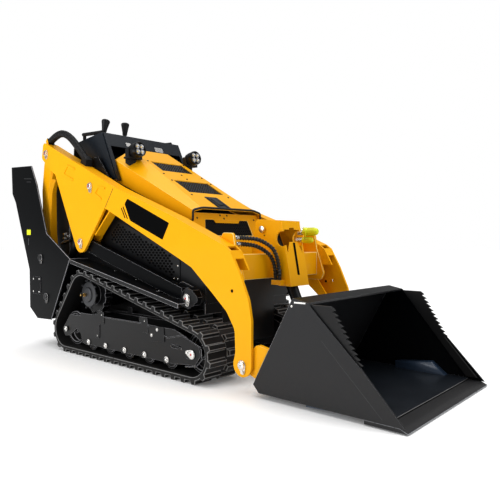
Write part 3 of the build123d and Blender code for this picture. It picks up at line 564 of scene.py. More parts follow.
# %% Deeper black on the large panels
for node in ("side_panel_right", "side_panel_left", "lower_link_right", "lower_link_left"):
    rounded[node].data.materials[0] = deep_black
rounded["dash"].data.materials[0] = dash_black
rounded["bucket"].data.materials[0] = bucket_black
rounded["cutting_edge"].data.materials[0] = bucket_black
for node in ("side_cutter_right", "side_cutter_left"):
    rounded[node].data.materials[0] = black_plastic

# %% [markdown]
# ## Small things made once
#
# Bolts, pins and holes repeat all over a machine. Each is modelled once at the
# origin, pointing along +Z, and copied to a list of places and directions; the
# copies are joined into one piece. A plate with holes starts as a flat curve,
# whose inner outlines become the holes when it is filled.

# %% Copies of one shape
RIGHT = (0, -1, 0)   # the direction of the machine's right-hand side


def at_place(template, place, direction):
    """A copy of a shape at a place, with its +Z along a direction."""
    copy = twin(template)
    turn = Vector(direction).to_track_quat("Z", "Y").to_matrix().to_4x4()
    copy.matrix_world = Matrix.Translation(place) @ turn
    return settle(copy)


def scattered(template, rows):
    """Copies of a shape along rows of place and direction, joined; the shape is used up."""
    copies = [at_place(template, place, direction) for place, direction in rows]
    bpy.data.objects.remove(template)
    return joined(copies)


def both_sides(rows):
    """The rows of the right side, and their mirror rows on the left."""
    mirrored = [((x, -y, z), (dx, -dy, dz)) for (x, y, z), (dx, dy, dz) in rows]
    return list(rows) + mirrored


def facing_right(out, spots):
    """Rows for places of x and z on the right side, at a distance off the centre plane."""
    return [((x, -out, z), RIGHT) for x, z in spots]

# %% Turned shapes
MERGE = 0.00002   # points nearer than this become one


def turned(rows, steps=24, wide=1.0, tall=1.0):
    """A lathe shape about Z from rows of radius and height, each row times wide and tall."""
    rows = [(radius * wide, height * tall) for radius, height in rows]
    bpy.ops.object.select_all(action="DESELECT")
    bpy.ops.mesh.primitive_plane_add(size=1.0)
    piece = bpy.context.object
    bpy.ops.object.mode_set(mode="EDIT")
    mesh = bmesh.from_edit_mesh(piece.data)
    mesh.verts.ensure_lookup_table()
    bmesh.ops.delete(mesh, geom=mesh.verts[1:], context="VERTS")
    mesh.verts.ensure_lookup_table()
    first = mesh.verts[0]
    first.co = (rows[0][0], 0.0, rows[0][1])
    bmesh.update_edit_mesh(piece.data)
    bpy.ops.mesh.select_all(action="SELECT")
    for (r0, z0), (r1, z1) in zip(rows, rows[1:]):
        bpy.ops.mesh.extrude_region_move(
            TRANSFORM_OT_translate={"value": (r1 - r0, 0.0, z1 - z0)})
    bpy.ops.mesh.select_all(action="SELECT")
    bpy.ops.mesh.spin(steps=steps, angle=2 * math.pi, center=(0, 0, 0), axis=(0, 0, 1))
    bpy.ops.object.mode_set(mode="OBJECT")
    return smooth(faced_out(piece, MERGE))

# %% Bolts
FLATS_TO_CORNER = 0.577   # a hexagon's corner radius for a width of 1 across its flats


def hex_bolt(width, height, washer=1.35):
    """A hexagon head with a chamfered top on a flat washer."""
    bpy.ops.object.select_all(action="DESELECT")
    bpy.ops.mesh.primitive_cylinder_add(
        vertices=6, radius=width * FLATS_TO_CORNER, depth=height, location=(0, 0, height / 2 + 0.0015))
    head = settle(bpy.context.object)
    soften(head, width * 0.05, 1)
    bpy.ops.mesh.primitive_cylinder_add(
        vertices=24, radius=width * washer / 2, depth=0.0016, location=(0, 0, 0.0007))
    ring = settle(bpy.context.object)
    soften(ring, 0.0003, 1)
    return joined([head, ring])


def dome_bolt(radius):
    """A round-headed bolt with a flange."""
    return turned([(0.0, 0.62), (0.42, 0.56), (0.68, 0.34), (0.72, 0.16), (1.0, 0.12),
                   (1.0, -0.001 / radius), (0.0, -0.001 / radius)], 16, radius, radius)


def side_bolts(radius, rows, name, body="machine"):
    """Plated domed bolts on rows of the right side and their mirror rows, handed over."""
    hand_over(scattered(dome_bolt(radius), both_sides(rows)), name, body, "zinc")

# %% Curves
def curve(dimensions, **settings):
    """An empty curve with its settings by name."""
    bpy.ops.object.select_all(action="DESELECT")
    bpy.ops.object.add(type="CURVE")
    line = bpy.context.object
    line.data.dimensions = dimensions
    for label, value in settings.items():
        setattr(line.data, label, value)
    return line


def spline(line, kind, points, **settings):
    """Add a spline through points to a curve, with its settings by name."""
    added = line.data.splines.new(kind)
    added.points.add(len(points) - 1)
    for spot, place in zip(added.points, points):
        spot.co = (*place, 1.0)
    for label, value in settings.items():
        setattr(added, label, value)


def path_tube(points, radius):
    """A round bar that follows points smoothly, as a mesh."""
    line = curve("3D", bevel_depth=radius, bevel_resolution=3, resolution_u=6, use_fill_caps=True)
    spline(line, "NURBS", points, order_u=3, use_endpoint_u=True)
    return smooth(to_mesh(line))

# %% Plates from flat curves
def flat_plate(loops, thickness, chamfer=0.0):
    """A plate from closed X-Z outlines, the later ones holes; it faces -Y with its back at Y 0."""
    plate = curve("2D", fill_mode="BOTH", extrude=thickness / 2 - chamfer, bevel_depth=chamfer,
                  bevel_resolution=1, offset=-chamfer)
    for loop in loops:
        spline(plate, "POLY", [(x, z, 0.0) for x, z in loop], use_cyclic_u=True)
    plate.rotation_euler = (math.pi / 2, 0.0, 0.0)
    plate.location = (0.0, -thickness / 2, 0.0)
    return faced_out(settle(to_mesh(plate)), MERGE)


def move(piece, x=0.0, y=0.0, z=0.0):
    """Shift a settled piece and settle it again."""
    piece.location = (x, y, z)
    return settle(piece)

# %% [markdown]
# ## Mirror images
#
# Most pieces stand on both sides of the machine. Each is made once, on the right,
# and a copy scaled by -1 across the centre plane becomes the left one. The scale
# turns the copy inside out, so its faces are turned outward again.

# %% Right and left
def turned_over(piece):
    """The mirror image of a settled piece across the centre plane, as a new object."""
    copy = twin(piece)
    copy.scale = (1.0, -1.0, 1.0)
    return faced_out(settle(copy))


def pair(right, name, body, slot, material=None):
    """Hand over a right-hand piece and its mirror image; body may be right and left."""
    body_right, body_left = body if isinstance(body, tuple) else (body, body)
    hand_over(turned_over(right), name + "_left", body_left, slot, material)
    hand_over(right, name + "_right", body_right, slot, material)

# %% [markdown]
# ## Punched holes
#
# Guards and vents are punched in staggered rows. A hole is kept only where its
# middle lies inside the sheet's outline by a margin, so that none cuts the border.

# %% Rings and hexagons
def ring_points(x, z, radius, count):
    """Points of a circle in the X-Z plane."""
    return [(x + radius * math.cos(2 * math.pi * i / count),
             z + radius * math.sin(2 * math.pi * i / count)) for i in range(count)]


def hexagons(outline, pitch, row_pitch, half_x, half_z, margin):
    """Long hexagonal holes in staggered rows, all inside a convex clockwise outline by a margin."""
    def inside(x, z):
        for (x0, z0), (x1, z1) in zip(outline, outline[1:] + outline[:1]):
            run = math.hypot(x1 - x0, z1 - z0)
            if ((x1 - x0) * (z - z0) - (z1 - z0) * (x - x0)) / run > -margin:
                return False
        return True

    xs, zs = [x for x, _ in outline], [z for _, z in outline]
    holes, row, z = [], 0, min(zs)
    while z < max(zs):
        x = min(xs) + (pitch / 2 if row % 2 else 0.0)
        while x < max(xs):
            if inside(x, z):
                holes.append([(x + half_x * px, z + half_z * pz) for px, pz in
                              ((1, 0), (0.5, 1), (-0.5, 1), (-1, 0), (-0.5, -1), (0.5, -1))])
            x += pitch
        row, z = row + 1, z + row_pitch
    return holes

# %% [markdown]
# ## Pivot pins
#
# Every pivot is held by a hardened pin. A plated flag is welded to its head and
# bolted down, so that the pin turns with the plate and wears only in the bush;
# a grease nipple sits in the middle. The flag is a flat curve, the head and the
# nipple are turned, and the whole is copied to the seven pivots of each side.

# %% Flags, heads and nipples
PIVOTS = [
    # name, x, z, distance of the plate's face off the centre plane, body
    ("rear_link_low", -1.000, 0.542, 0.440, "machine"),
    ("lift_cylinder_low", -0.934, 0.306, 0.440, "machine"),
    ("lower_link_front", 0.283, 0.378, 0.390, "machine"),
    ("rear_link_top", -0.992, 1.186, 0.402, "lift_arms"),
    ("lift_cylinder_top", -0.507, 0.951, 0.402, "lift_arms"),
    ("lower_link_rear", -0.605, 0.638, 0.402, "lift_arms"),
    ("hitch", 0.639, 0.122, 0.402, "lift_arms"),
]
PIN_RADIUS = 0.015
FLAG_BOLT = (0.007, -0.028)   # x and z of the locking bolt from the pin
OUTERMOST, FLUSH = 0.43, 0.58   # pins further out than the first are this share as high


def flag_outline():
    """Teardrop round the pin and its locking bolt."""
    big, small = PIN_RADIUS + 0.0064, 0.0104
    bolt_x, bolt_z = FLAG_BOLT
    turn = math.atan2(bolt_z, bolt_x)
    lean = math.acos((big - small) / math.hypot(bolt_x, bolt_z))
    points = []
    for i in range(19):
        angle = turn + lean + (2 * math.pi - 2 * lean) * i / 18
        points.append((big * math.cos(angle), big * math.sin(angle)))
    for i in range(9):
        angle = turn - lean + 2 * lean * i / 8
        points.append((bolt_x + small * math.cos(angle), bolt_z + small * math.sin(angle)))
    return points


def pin_flag():
    """One flag with its pin head, nipple and bolt, facing -Y at the origin."""
    flag = flat_plate([flag_outline()], 0.0056, 0.0007)
    head = turned([(0.0, 0.0122), (0.0150, 0.0122), (0.0182, 0.0100), (0.0184, 0.0), (0.0, 0.0)], 28)
    nipple = turned([(0.0, 0.0185), (0.0022, 0.0175), (0.0024, 0.0150), (0.0040, 0.0140),
                     (0.0042, 0.0110), (0.0, 0.0110)], 12)
    bolt = hex_bolt(0.0145, 0.0055)
    bolt_x, bolt_z = FLAG_BOLT
    for part, place in ((head, (0, 0, 0)), (nipple, (0, 0, 0)), (bolt, (bolt_x, -0.0045, bolt_z))):
        part.rotation_euler = (math.pi / 2, 0.0, 0.0)
        part.location = place
        settle(part)
    return joined([flag, head, nipple, bolt])

# %% Pins on every pivot
flag_template = pin_flag()
for name, x, z, off, body in PIVOTS:
    right = twin(flag_template)
    right.scale.y = FLUSH if off > OUTERMOST else 1.0
    pair(move(right, x, -off, z), name + "_pin", body, "zinc")
print(2 * len(PIVOTS), "pivot pins")

# %% [markdown]
# ## The mesh over the engine's side
#
# Air for the radiator enters through a sheet with rows of long hexagonal holes,
# cut by laser, so the bars between them are thin and even. The sheet is one flat
# curve with more than a hundred inner outlines. A dark sheet behind it paints the
# shade inside the holes.

# %% Side mesh
# A dark disc of this thickness paints the shade inside a hole.
FILM = 0.0006   # thickness of a decal, or of a dark disc that stands for a hole
SCREEN = [(-0.446, 0.702), (-0.384, 0.766), (0.102, 0.590), (0.150, 0.548), (0.150, 0.442), (-0.452, 0.642)]
MESH_FIELD = [(-0.430, 0.690), (-0.376, 0.748), (0.080, 0.583), (0.128, 0.450), (-0.434, 0.646)]
BODY_FACE = 0.3142
holes = hexagons(MESH_FIELD, 0.0290, 0.0135, 0.0126, 0.0059, 0.006)
pair(move(flat_plate([SCREEN] + holes, 0.0036), y=-BODY_FACE), "side_mesh", "machine", "black_paint")
for side in ("right", "left"):
    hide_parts("side_screen_" + side)
# The dark sheet behind the mesh is painted shade in the holes.
pair(move(flat_plate([SCREEN], FILM), y=-(BODY_FACE + 0.0002)), "side_mesh_shade_sheet", "machine",
     "black_plastic", decal_and_shade_black)
print(len(holes), "holes in each side mesh")

# %% [markdown]
# ## Laying a piece on a slope
#
# A plate is drawn flat, facing the right-hand side of the machine. To lie on the
# hood or on the front panel it needs a new direction for its length and for its
# face. A matrix with those directions as columns turns it, and the turn goes
# into the mesh at once, so that the piece's origin stays at the ground.

# %% Laid on a plane
def laid(piece, origin, along, out):
    """Turn a piece so that +X runs along and -Y faces out, from an origin; settled."""
    x_axis = Vector(along).normalized()
    y_axis = -Vector(out).normalized()
    turn = Matrix((x_axis, y_axis, x_axis.cross(y_axis))).transposed().to_4x4()
    piece.matrix_world = Matrix.Translation(origin) @ turn @ piece.matrix_world
    return settle(piece)


def rounded_loop(rows, radius):
    """A closed outline of x and z with every corner rounded by an arc."""
    points = []
    count = len(rows)
    for i, here in enumerate(rows):
        here = Vector(here)
        before, after = Vector(rows[i - 1]), Vector(rows[(i + 1) % count])
        arm = min(radius, (before - here).length * 0.45, (after - here).length * 0.45)
        start = here + (before - here).normalized() * arm
        end = here + (after - here).normalized() * arm
        for j in range(5):
            t = j / 4
            spot = start * (1 - t) ** 2 + here * 2 * t * (1 - t) + end * t ** 2
            points.append((spot.x, spot.y))
    return points


print("helpers for slopes and loops")

# %% [markdown]
# ## Hood vents, screws, latch and seal
#
# Two openings in the hood let the hot air out. Real ones are backed by punched
# sheet, so the holes are real holes here too: one flat curve whose inner loops
# are cut by the fill. The hood is held by black button screws, closes with a
# flush paddle latch, and sits on a rubber bead along its front edge.

# %% Hood plane and punched vents
HOOD_REAR = Vector((-0.478, 0.0, 1.190))
HOOD_ALONG = Vector((0.8677, 0.0, -0.4970))
HOOD_OUT = Vector((0.4970, 0.0, 0.8677))
PUNCH = (0.0172, 0.0086, 0.0072, 0.0035)   # pitch, pitch of the rows, half length, half width
RECESS = 0.0062   # how far the punched sheet lies below the plate in front of it


def along_hood(x):
    """Distance down the hood's top at a given x."""
    return (x - HOOD_REAR.x) / HOOD_ALONG.x


def on_hood(piece, lift=0.0):
    """Lay a flat piece, drawn as distance down the hood and distance to the left."""
    return laid(piece, HOOD_REAR + HOOD_OUT * lift, HOOD_ALONG, HOOD_OUT)


punched = []
for x_rear, x_front, half in ((-0.333, -0.220, 0.118), (-0.116, 0.017, 0.131)):
    a0, a1 = along_hood(x_rear) - 0.010, along_hood(x_front) + 0.010
    edge_loop = [(a0, half + 0.010), (a1, half + 0.010), (a1, -half - 0.010), (a0, -half - 0.010)]
    sheet = flat_plate([edge_loop] + hexagons(edge_loop, *PUNCH, 0.012), 0.0016)
    punched.append(on_hood(sheet, -RECESS))
vents = joined(punched)
hand_over(vents, "hood_vent_mesh", body_of_node["hood_vents"], "black_plastic")
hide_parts("hood_vents")
print(len(vents.data.polygons), "faces of punched sheet")

# %% Hood screws and latch
SCREWS = [(-0.330, -0.136), (-0.180, -0.143), (-0.106, -0.148), (0.045, -0.140), (-0.330, 0.136),
          (-0.176, 0.143), (-0.106, 0.148), (0.045, 0.140), (-0.184, -0.009), (-0.138, -0.009)]
rows = []
for x, y in SCREWS:
    spot = HOOD_REAR + HOOD_ALONG * along_hood(x)
    rows.append(((spot.x, y, spot.z), HOOD_OUT))
screws = scattered(dome_bolt(0.0062), rows)
hand_over(screws, "hood_screws", "hood", "black_plastic")

a0, a1 = along_hood(0.060), along_hood(0.175)
escutcheon = flat_plate([rounded_loop([(a0, 0.030), (a1, 0.030), (a1, -0.067), (a0, -0.067)], 0.008)],
                        0.0022, 0.0006)
rails = [flat_plate([rounded_loop([(a0 + 0.012, y + 0.006), (a1 - 0.012, y + 0.006),
                                   (a1 - 0.012, y - 0.006), (a0 + 0.012, y - 0.006)], 0.003)],
                    0.0046, 0.0008) for y in (0.014, -0.050)]
paddle = flat_plate([rounded_loop([(a0 + 0.020, 0.0), (a1 - 0.034, 0.0), (a1 - 0.034, -0.037),
                                   (a0 + 0.020, -0.037)], 0.006)], 0.0056, 0.0012)
latch = joined([on_hood(part, -0.0001) for part in [escutcheon, paddle] + rails])
smooth(latch)
hand_over(latch, "hood_latch", "hood", "black_plastic", gloss_black)
print(len(SCREWS), "hood screws and a latch")

# %% Rubber bead on the hood's front edge
BEAD = [(-0.2580, 0.748), (-0.2580, 0.776), (-0.2580, 0.800), (-0.2300, 0.8065), (-0.1950, 0.8145),
        (-0.1500, 0.8145), (0.1500, 0.8145), (0.1950, 0.8145), (0.2300, 0.8065), (0.2580, 0.800),
        (0.2580, 0.776), (0.2580, 0.745)]
hem = [(0.020, -0.2600, 0.7960), (0.080, -0.2600, 0.7760), (0.140, -0.2600, 0.7530), (0.172, -0.2600, 0.7440)]
bead = path_tube(hem + [(0.1815, y, z) for y, z in BEAD] + [(x, -y, z) for x, y, z in hem[::-1]],
                 0.0056)
hand_over(bead, "hood_seal", "hood", "black_plastic", hose_rubber)

# %% [markdown]
# ## The grille in the front panel
#
# Behind the front opening stands the radiator's guard, punched like the vents.
# The panel's upper edge drops in the middle, where a tongue is bent down to take
# the lock, so a small plate with slanted ends stands for the tongue.

# %% Front grille
PANEL_OUT = Vector((0.9627, 0.0, 0.2705))
PANEL_SPOT = Vector((0.1690, 0.0, 0.7590))
PANEL_LEAN = 0.281   # how far the panel comes forward for each metre down


def on_front(piece, lift=0.0):
    """Lay a flat piece, drawn as distance left and distance up, on the front panel."""
    return laid(piece, PANEL_SPOT + PANEL_OUT * lift, (0, 1, 0), PANEL_OUT)


field = [(-0.193, 0.010), (0.193, 0.010), (0.178, -0.098), (-0.178, -0.098)]
guard = on_front(flat_plate([field] + hexagons(field, *PUNCH, 0.010), 0.0016), -RECESS)
hand_over(guard, "grille_mesh", body_of_node["front_grille"], "black_plastic")
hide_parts("front_grille")
tongue = on_front(flat_plate([[(-0.104, 0.0), (0.101, 0.0), (0.084, -0.020), (-0.088, -0.020)]],
                             0.0036, 0.0006), -0.0040)
hand_over(tongue, "grille_tongue", body_of_node["front_panel"], "orange_paint")
FRONT_SCREWS = [(-0.217, 0.762), (0.217, 0.762), (-0.022, 0.7640), (-0.048, 0.780), (0.004, 0.780),
                (-0.217, 0.600), (0.217, 0.600)]
rows = [((PANEL_SPOT.x + (PANEL_SPOT.z - z) * PANEL_LEAN, y, z), PANEL_OUT) for y, z in FRONT_SCREWS]
hand_over(scattered(dome_bolt(0.0050), rows), "front_screws", body_of_node["front_panel"], "black_plastic")
print("grille", len(guard.data.polygons), "faces;", len(rows), "screws")

# %% [markdown]
# ## Work lamps
#
# Each lamp is a cast can with cooling ribs, a glossy bezel and four diodes, each in
# its own bright cup. All of these are round, so each is a profile spun about an
# axis, and then the four cups are copied to a square. The stand under the can is
# the CAD's own.

# %% Lamp parts
def lamp_can():
    """Ribbed can and its dark face, about +Z with the face forward."""
    return turned([(0.0, -0.001), (0.026, -0.001), (0.034, 0.006), (0.0408, 0.010), (0.0408, 0.014),
                   (0.0422, 0.015), (0.0422, 0.018), (0.0408, 0.019), (0.0408, 0.023),
                   (0.0422, 0.024), (0.0422, 0.027), (0.0408, 0.028), (0.0408, 0.032),
                   (0.0422, 0.033), (0.0422, 0.036), (0.0408, 0.037), (0.0408, 0.0562),
                   (0.0, 0.0562)], 40)


def lamp_bezel():
    """Glossy ring round the face."""
    return turned([(0.0410, 0.040), (0.0428, 0.042), (0.0432, 0.056), (0.0424, 0.0618),
                   (0.0396, 0.0630), (0.0372, 0.0612), (0.0366, 0.0566), (0.0410, 0.0560),
                   (0.0410, 0.040)], 48)


def diode_cup():
    """A bright conical cup with a thin rim."""
    return turned([(0.0, 0.0566), (0.0040, 0.0566), (0.0126, 0.0606), (0.0146, 0.0608),
                   (0.0150, 0.0600), (0.0150, 0.0560), (0.0, 0.0560)], 24)


def diode():
    """The small lens in the middle of a cup."""
    return turned([(0.0, 0.0600), (0.0028, 0.0596), (0.0048, 0.0582), (0.0052, 0.0564),
                   (0.0, 0.0564)], 16)

# %% Two lamps on the hood
LAMP_REAR = Vector((-0.362, 0.215, 1.150))
LAMP_FRONT = Vector((-0.308, 0.213, 1.159))


def at_lamps(template, offsets):
    """Copies of a part, moved off the lamp's axis, on both lamps; one joined piece each."""
    pieces = []
    for sign in (-1, 1):
        rear = Vector((LAMP_REAR.x, LAMP_REAR.y * sign, LAMP_REAR.z))
        axis = (Vector((LAMP_FRONT.x, LAMP_FRONT.y * sign, LAMP_FRONT.z)) - rear).normalized()
        turn = axis.to_track_quat("Z", "Y").to_matrix()
        pieces.append(joined([at_place(template, rear + turn @ Vector((dx, dy, 0.0)), axis)
                              for dx, dy in offsets]))
    bpy.data.objects.remove(template)
    return pieces


CUP_OFF = 0.0152
SQUARE = [(-CUP_OFF, -CUP_OFF), (CUP_OFF, -CUP_OFF), (CUP_OFF, CUP_OFF), (-CUP_OFF, CUP_OFF)]
for label, template, offsets, slot, material in (
        ("can", lamp_can(), [(0, 0)], "black_plastic", None),
        ("bezel", lamp_bezel(), [(0, 0)], "black_plastic", gloss_black),
        ("cups", diode_cup(), SQUARE, "chrome", steel),
        ("diodes", diode(), SQUARE, None, warm_lens)):
    for piece, side in zip(at_lamps(template, offsets), ("right", "left")):
        hand_over(piece, f"lamp_{label}_{side}", "hood", slot, material)
print("two lamps of four diodes each")

# %% [markdown]
# ## Control levers and the console
#
# The operator steers with two short levers. Each has a moulded grip, wide at the
# top where the palm rests, and a folded rubber boot that keeps rain out of the
# slot. Grip, stem and boot are turned shapes. On the console's front sit two small
# bare plates.

# %% Levers
def lever_stem():
    """Steel stem with its folded boot, about +Z from the console's deck."""
    boot = [(0.0, 0.0), (0.031, 0.0)]
    for i in range(5):
        r, z = 0.030 - i * 0.0038, 0.004 + i * 0.0085
        boot += [(r, z), (r - 0.0046, z + 0.0042)]
    boot += [(0.0085, 0.050), (0.0072, 0.053), (0.0072, 0.118), (0.0, 0.118)]
    return turned(boot, 28)


def lever_grip():
    """Soft grip, wide at the top."""
    return turned([(0.0, 0.082), (0.0128, 0.082), (0.0146, 0.087), (0.0156, 0.100), (0.0222, 0.134),
                   (0.0250, 0.146), (0.0254, 0.151), (0.0232, 0.157), (0.0172, 0.1608),
                   (0.0085, 0.1622), (0.0, 0.1624)], 32)


LEVERS = [(-0.198, 0.024), (-0.033, 0.006)]   # place to the left, lean to the left over the reach
LEVER_X, LEVER_DECK, LEVER_REACH = -0.700, 1.2312, 0.119
stems, grips = [], []
for maker, store in ((lever_stem, stems), (lever_grip, grips)):
    template = maker()
    store += [at_place(template, (LEVER_X, y, LEVER_DECK), (0.0, lean, LEVER_REACH)) for y, lean in LEVERS]
    bpy.data.objects.remove(template)
levers = joined(stems)
hand_over(levers, "lever_stems", body_of_node["control_levers"], "black_plastic", hose_rubber)
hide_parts("control_levers")
hand_over(joined(grips), "lever_grips", body_of_node["control_levers"], "black_plastic")
print(len(LEVERS), "levers")

# %% Plates on the console
DASH_OUT = Vector((0.9, 0.0, 0.444)).normalized()
DASH_X, DASH_Z, DASH_LEAN = -0.5240, 1.2250, 0.4933
plates = []
for y, z, width, height in ((0.098, 1.2150, 0.062, 0.034), (-0.131, 1.2190, 0.034, 0.026)):
    x = DASH_X + (DASH_Z - z) * DASH_LEAN
    w, h = width / 2, height / 2
    shape = rounded_loop([(-w, -h), (w, -h), (w, h), (-w, h)], 0.004)
    plates.append(laid(flat_plate([shape], 0.0016, 0.0004), (x, y, z), (0, 1, 0), DASH_OUT))
hand_over(joined(plates), "console_plates", body_of_node["dash"], "zinc")
print(len(plates), "bare plates")

# %% [markdown]
# ## The arms' faces
#
# A long dark field with two slanted stripes decorates each arm; here it stays
# bare of words. It is cut from film, so it is a plate less than a millimetre thick.
# The two hooked ribs near the tail are pressed into the sheet to stiffen it, and a
# fine groove shows where the tail's plate meets the beam's.

# %% Dark field, stripes, ribs and groove
ARM_FACE = 0.4018


def arm_pair(piece, name, slot, material=None):
    """Hand over a flat piece on the right arm's face, and its mirror image on the left arm's."""
    pair(move(piece, y=-ARM_FACE), name, "lift_arms", slot, material)


def bent_bar(points, width):
    """Outline of a bar of even width along an open line of x and z."""
    sides = ([], [])
    for i, here in enumerate(points):
        before = Vector(points[max(i - 1, 0)])
        after = Vector(points[min(i + 1, len(points) - 1)])
        here = Vector(here)
        first = (here - before).normalized() if i else (after - here).normalized()
        last = (after - here).normalized() if i < len(points) - 1 else first
        bisector = (first + last).normalized()
        across = Vector((-bisector.y, bisector.x))
        reach = width / 2 / max(across.dot(Vector((-first.y, first.x))), 0.4)
        sides[0].append(tuple(here + across * reach))
        sides[1].append(tuple(here - across * reach))
    return sides[0] + sides[1][::-1]


field_outline = rounded_loop([(-0.160, 0.864), (0.170, 0.731), (0.121, 0.651), (-0.137, 0.750),
                              (-0.184, 0.838)], 0.006)
arm_pair(flat_plate([field_outline], FILM), "arm_field", "black_plastic", decal_and_shade_black)
stripes = joined([flat_plate([bent_bar(line, 0.0068)], FILM)
                  for line in ([(-0.1985, 0.8240), (-0.1600, 0.7600)],
                               [(-0.2130, 0.8180), (-0.1800, 0.7640)])])
arm_pair(stripes, "arm_stripes", "black_plastic", decal_and_shade_black)
ribs = [flat_plate([bent_bar(line, 0.0105)], 0.0038, 0.0016)
        for line in ([(-0.662, 1.060), (-0.744, 1.087), (-0.788, 1.041), (-0.683, 1.000)],
                     [(-0.361, 0.931), (-0.425, 0.944), (-0.459, 0.909), (-0.395, 0.873)])]
arm_pair(smooth(joined(ribs)), "arm_ribs", "orange_paint")
groove = flat_plate([bent_bar([(-0.286, 0.926), (-0.362, 0.826)], 0.0032)], 0.0005)
arm_pair(groove, "arm_groove", "black_plastic")
print("arm faces dressed")

# %% [markdown]
# ## Hoses and their guards
#
# Oil reaches the cylinders through rubber hoses, crimped into plated fittings. A
# plastic spiral is wound round each one, because a moving arm would saw through
# bare rubber. The line is a NURBS through the route's own points; the spiral is a
# second curve wound round that line, sampled evenly so that its turns are all
# alike.

# %% Evenly spaced line
def smooth_line(points, count):
    """Evenly spaced points and directions on the NURBS line of a route."""
    line = curve("3D", resolution_u=40)
    spline(line, "NURBS", points, order_u=3, use_endpoint_u=True)
    mesh = bpy.data.meshes.new_from_object(line)
    fine = [v.co.copy() for v in mesh.vertices]
    bpy.data.objects.remove(line)
    reach = [0.0]
    for a, b in zip(fine, fine[1:]):
        reach.append(reach[-1] + (b - a).length)
    spots, k = [], 0
    for i in range(count):
        goal = reach[-1] * i / (count - 1)
        while k < len(reach) - 2 and reach[k + 1] < goal:
            k += 1
        share = (goal - reach[k]) / max(reach[k + 1] - reach[k], 1e-9)
        spots.append(fine[k].lerp(fine[k + 1], min(share, 1.0)))
    ways = [(spots[min(i + 1, count - 1)] - spots[max(i - 1, 0)]).normalized() for i in range(count)]
    return spots, ways, reach[-1]

# %% Spiral guard
def spiral(points, radius, wire, pitch, start=0.0, end=1.0):
    """A wire wound round a route, between two shares of its length."""
    turns_total = smooth_line(points, 3)[2] / pitch
    count = int(turns_total * 10)
    spots, ways, _ = smooth_line(points, count)
    side = ways[0].orthogonal().normalized()
    wound = []
    for i, (spot, way) in enumerate(zip(spots, ways)):
        side = (side - way * side.dot(way)).normalized()
        angle = 2 * math.pi * turns_total * i / (count - 1)
        if start <= i / (count - 1) <= end:
            wound.append(spot + (side * math.cos(angle) + way.cross(side) * math.sin(angle)) * radius)
    coil = curve("3D", bevel_depth=wire, bevel_resolution=0, use_fill_caps=True)
    spline(coil, "POLY", wound)
    return smooth(to_mesh(coil), 70.0)

# %% Crimped end
def crimp(radius):
    """A crimped hose end with its hexagon nut, about +Z away from the hose."""
    sleeve = turned([(0.0, -0.034), (1.18, -0.034), (1.22, -0.032), (1.10, -0.028), (1.22, -0.024),
                     (1.10, -0.020), (1.22, -0.016), (1.22, -0.010), (0.8, -0.006), (0.8, 0.0),
                     (0.0, 0.0)], 24, radius)
    nut = hex_bolt(radius * 2.1, 0.013, 1.0)
    return joined([sleeve, nut])

# %% Hoses on the arms
REAR_ROUTE = [(-1.004, -0.364, 1.266), (-0.912, -0.364, 1.306), (-0.812, -0.362, 1.286),
              (-0.722, -0.354, 1.214), (-0.640, -0.348, 1.125)]
ARM_ROUTES = [
    [(0.500, -0.312, 0.660), (0.500, -0.242, 0.660), (0.548, -0.165, 0.652), (0.595, -0.092, 0.586),
     (0.595, -0.092, 0.462)],
    [(0.506, -0.312, 0.632), (0.506, -0.248, 0.632), (0.536, -0.165, 0.620), (0.573, -0.092, 0.556),
     (0.573, -0.092, 0.462)],
]
rear_sleeve = joined([path_tube(REAR_ROUTE, 0.0192), spiral(REAR_ROUTE, 0.0194, 0.0024, 0.0084)])
hand_over(rear_sleeve, "rear_hose_sleeve", "lift_arms", "hose_rubber")
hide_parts("rear_hoses")
tubes, guards, ends, low_ends = [], [], [], []
end_template = crimp(0.0082)
for route in ARM_ROUTES:
    tubes.append(path_tube(route, 0.0078))
    guards.append(spiral(route, 0.0092, 0.0027, 0.0150, 0.10, 0.96))
    for outer, inner, store in ((route[0], route[1], ends), (route[-1], route[-2], low_ends)):
        away = (Vector(outer) - Vector(inner)).normalized()
        store.append(at_place(end_template, Vector(outer) - away * 0.012, away))
bpy.data.objects.remove(end_template)
arm_tubes = joined(tubes)
hand_over(arm_tubes, "bracket_hoses", "lift_arms", "hose_rubber")
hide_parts("arm_hoses")
hand_over(joined(guards), "bracket_hose_guards", "lift_arms", "black_plastic", spiral_plastic)
hand_over(joined(ends), "bracket_hose_ends", "lift_arms", "zinc")
hand_over(joined(low_ends), "bracket_hose_roots", "lift_arms", "black_plastic", hose_rubber)
print("hoses", len(rear_sleeve.data.polygons), "+", len(arm_tubes.data.polygons), "faces")

# %% [markdown]
# ## Quick couplers
#
# Two couplings wait on the left for a driven attachment. A plated body with a
# grooved sliding sleeve takes the hose, and a bright plastic cap keeps dirt out
# until then. Bodies and caps are turned; the caps' grips are small bars copied
# round them, and one moulded strap holds both caps.

# %% Couplers and caps
GRIPS = 10   # small bars round a cap


def coupler_body(length, radius):
    """Hexagon root, sleeve with grooves and collar, about +Z."""
    body = turned([(0.0, 0.0), (1.0, 0.0), (1.0, 0.30), (1.22, 0.34), (1.22, 0.44), (1.12, 0.46),
                   (1.12, 0.52), (1.22, 0.54), (1.22, 0.66), (1.05, 0.70), (1.05, 1.0), (0.0, 1.0)],
                  32, radius, length)
    return joined([body, hex_bolt(radius * 2.15, length * 0.26, 1.0)])


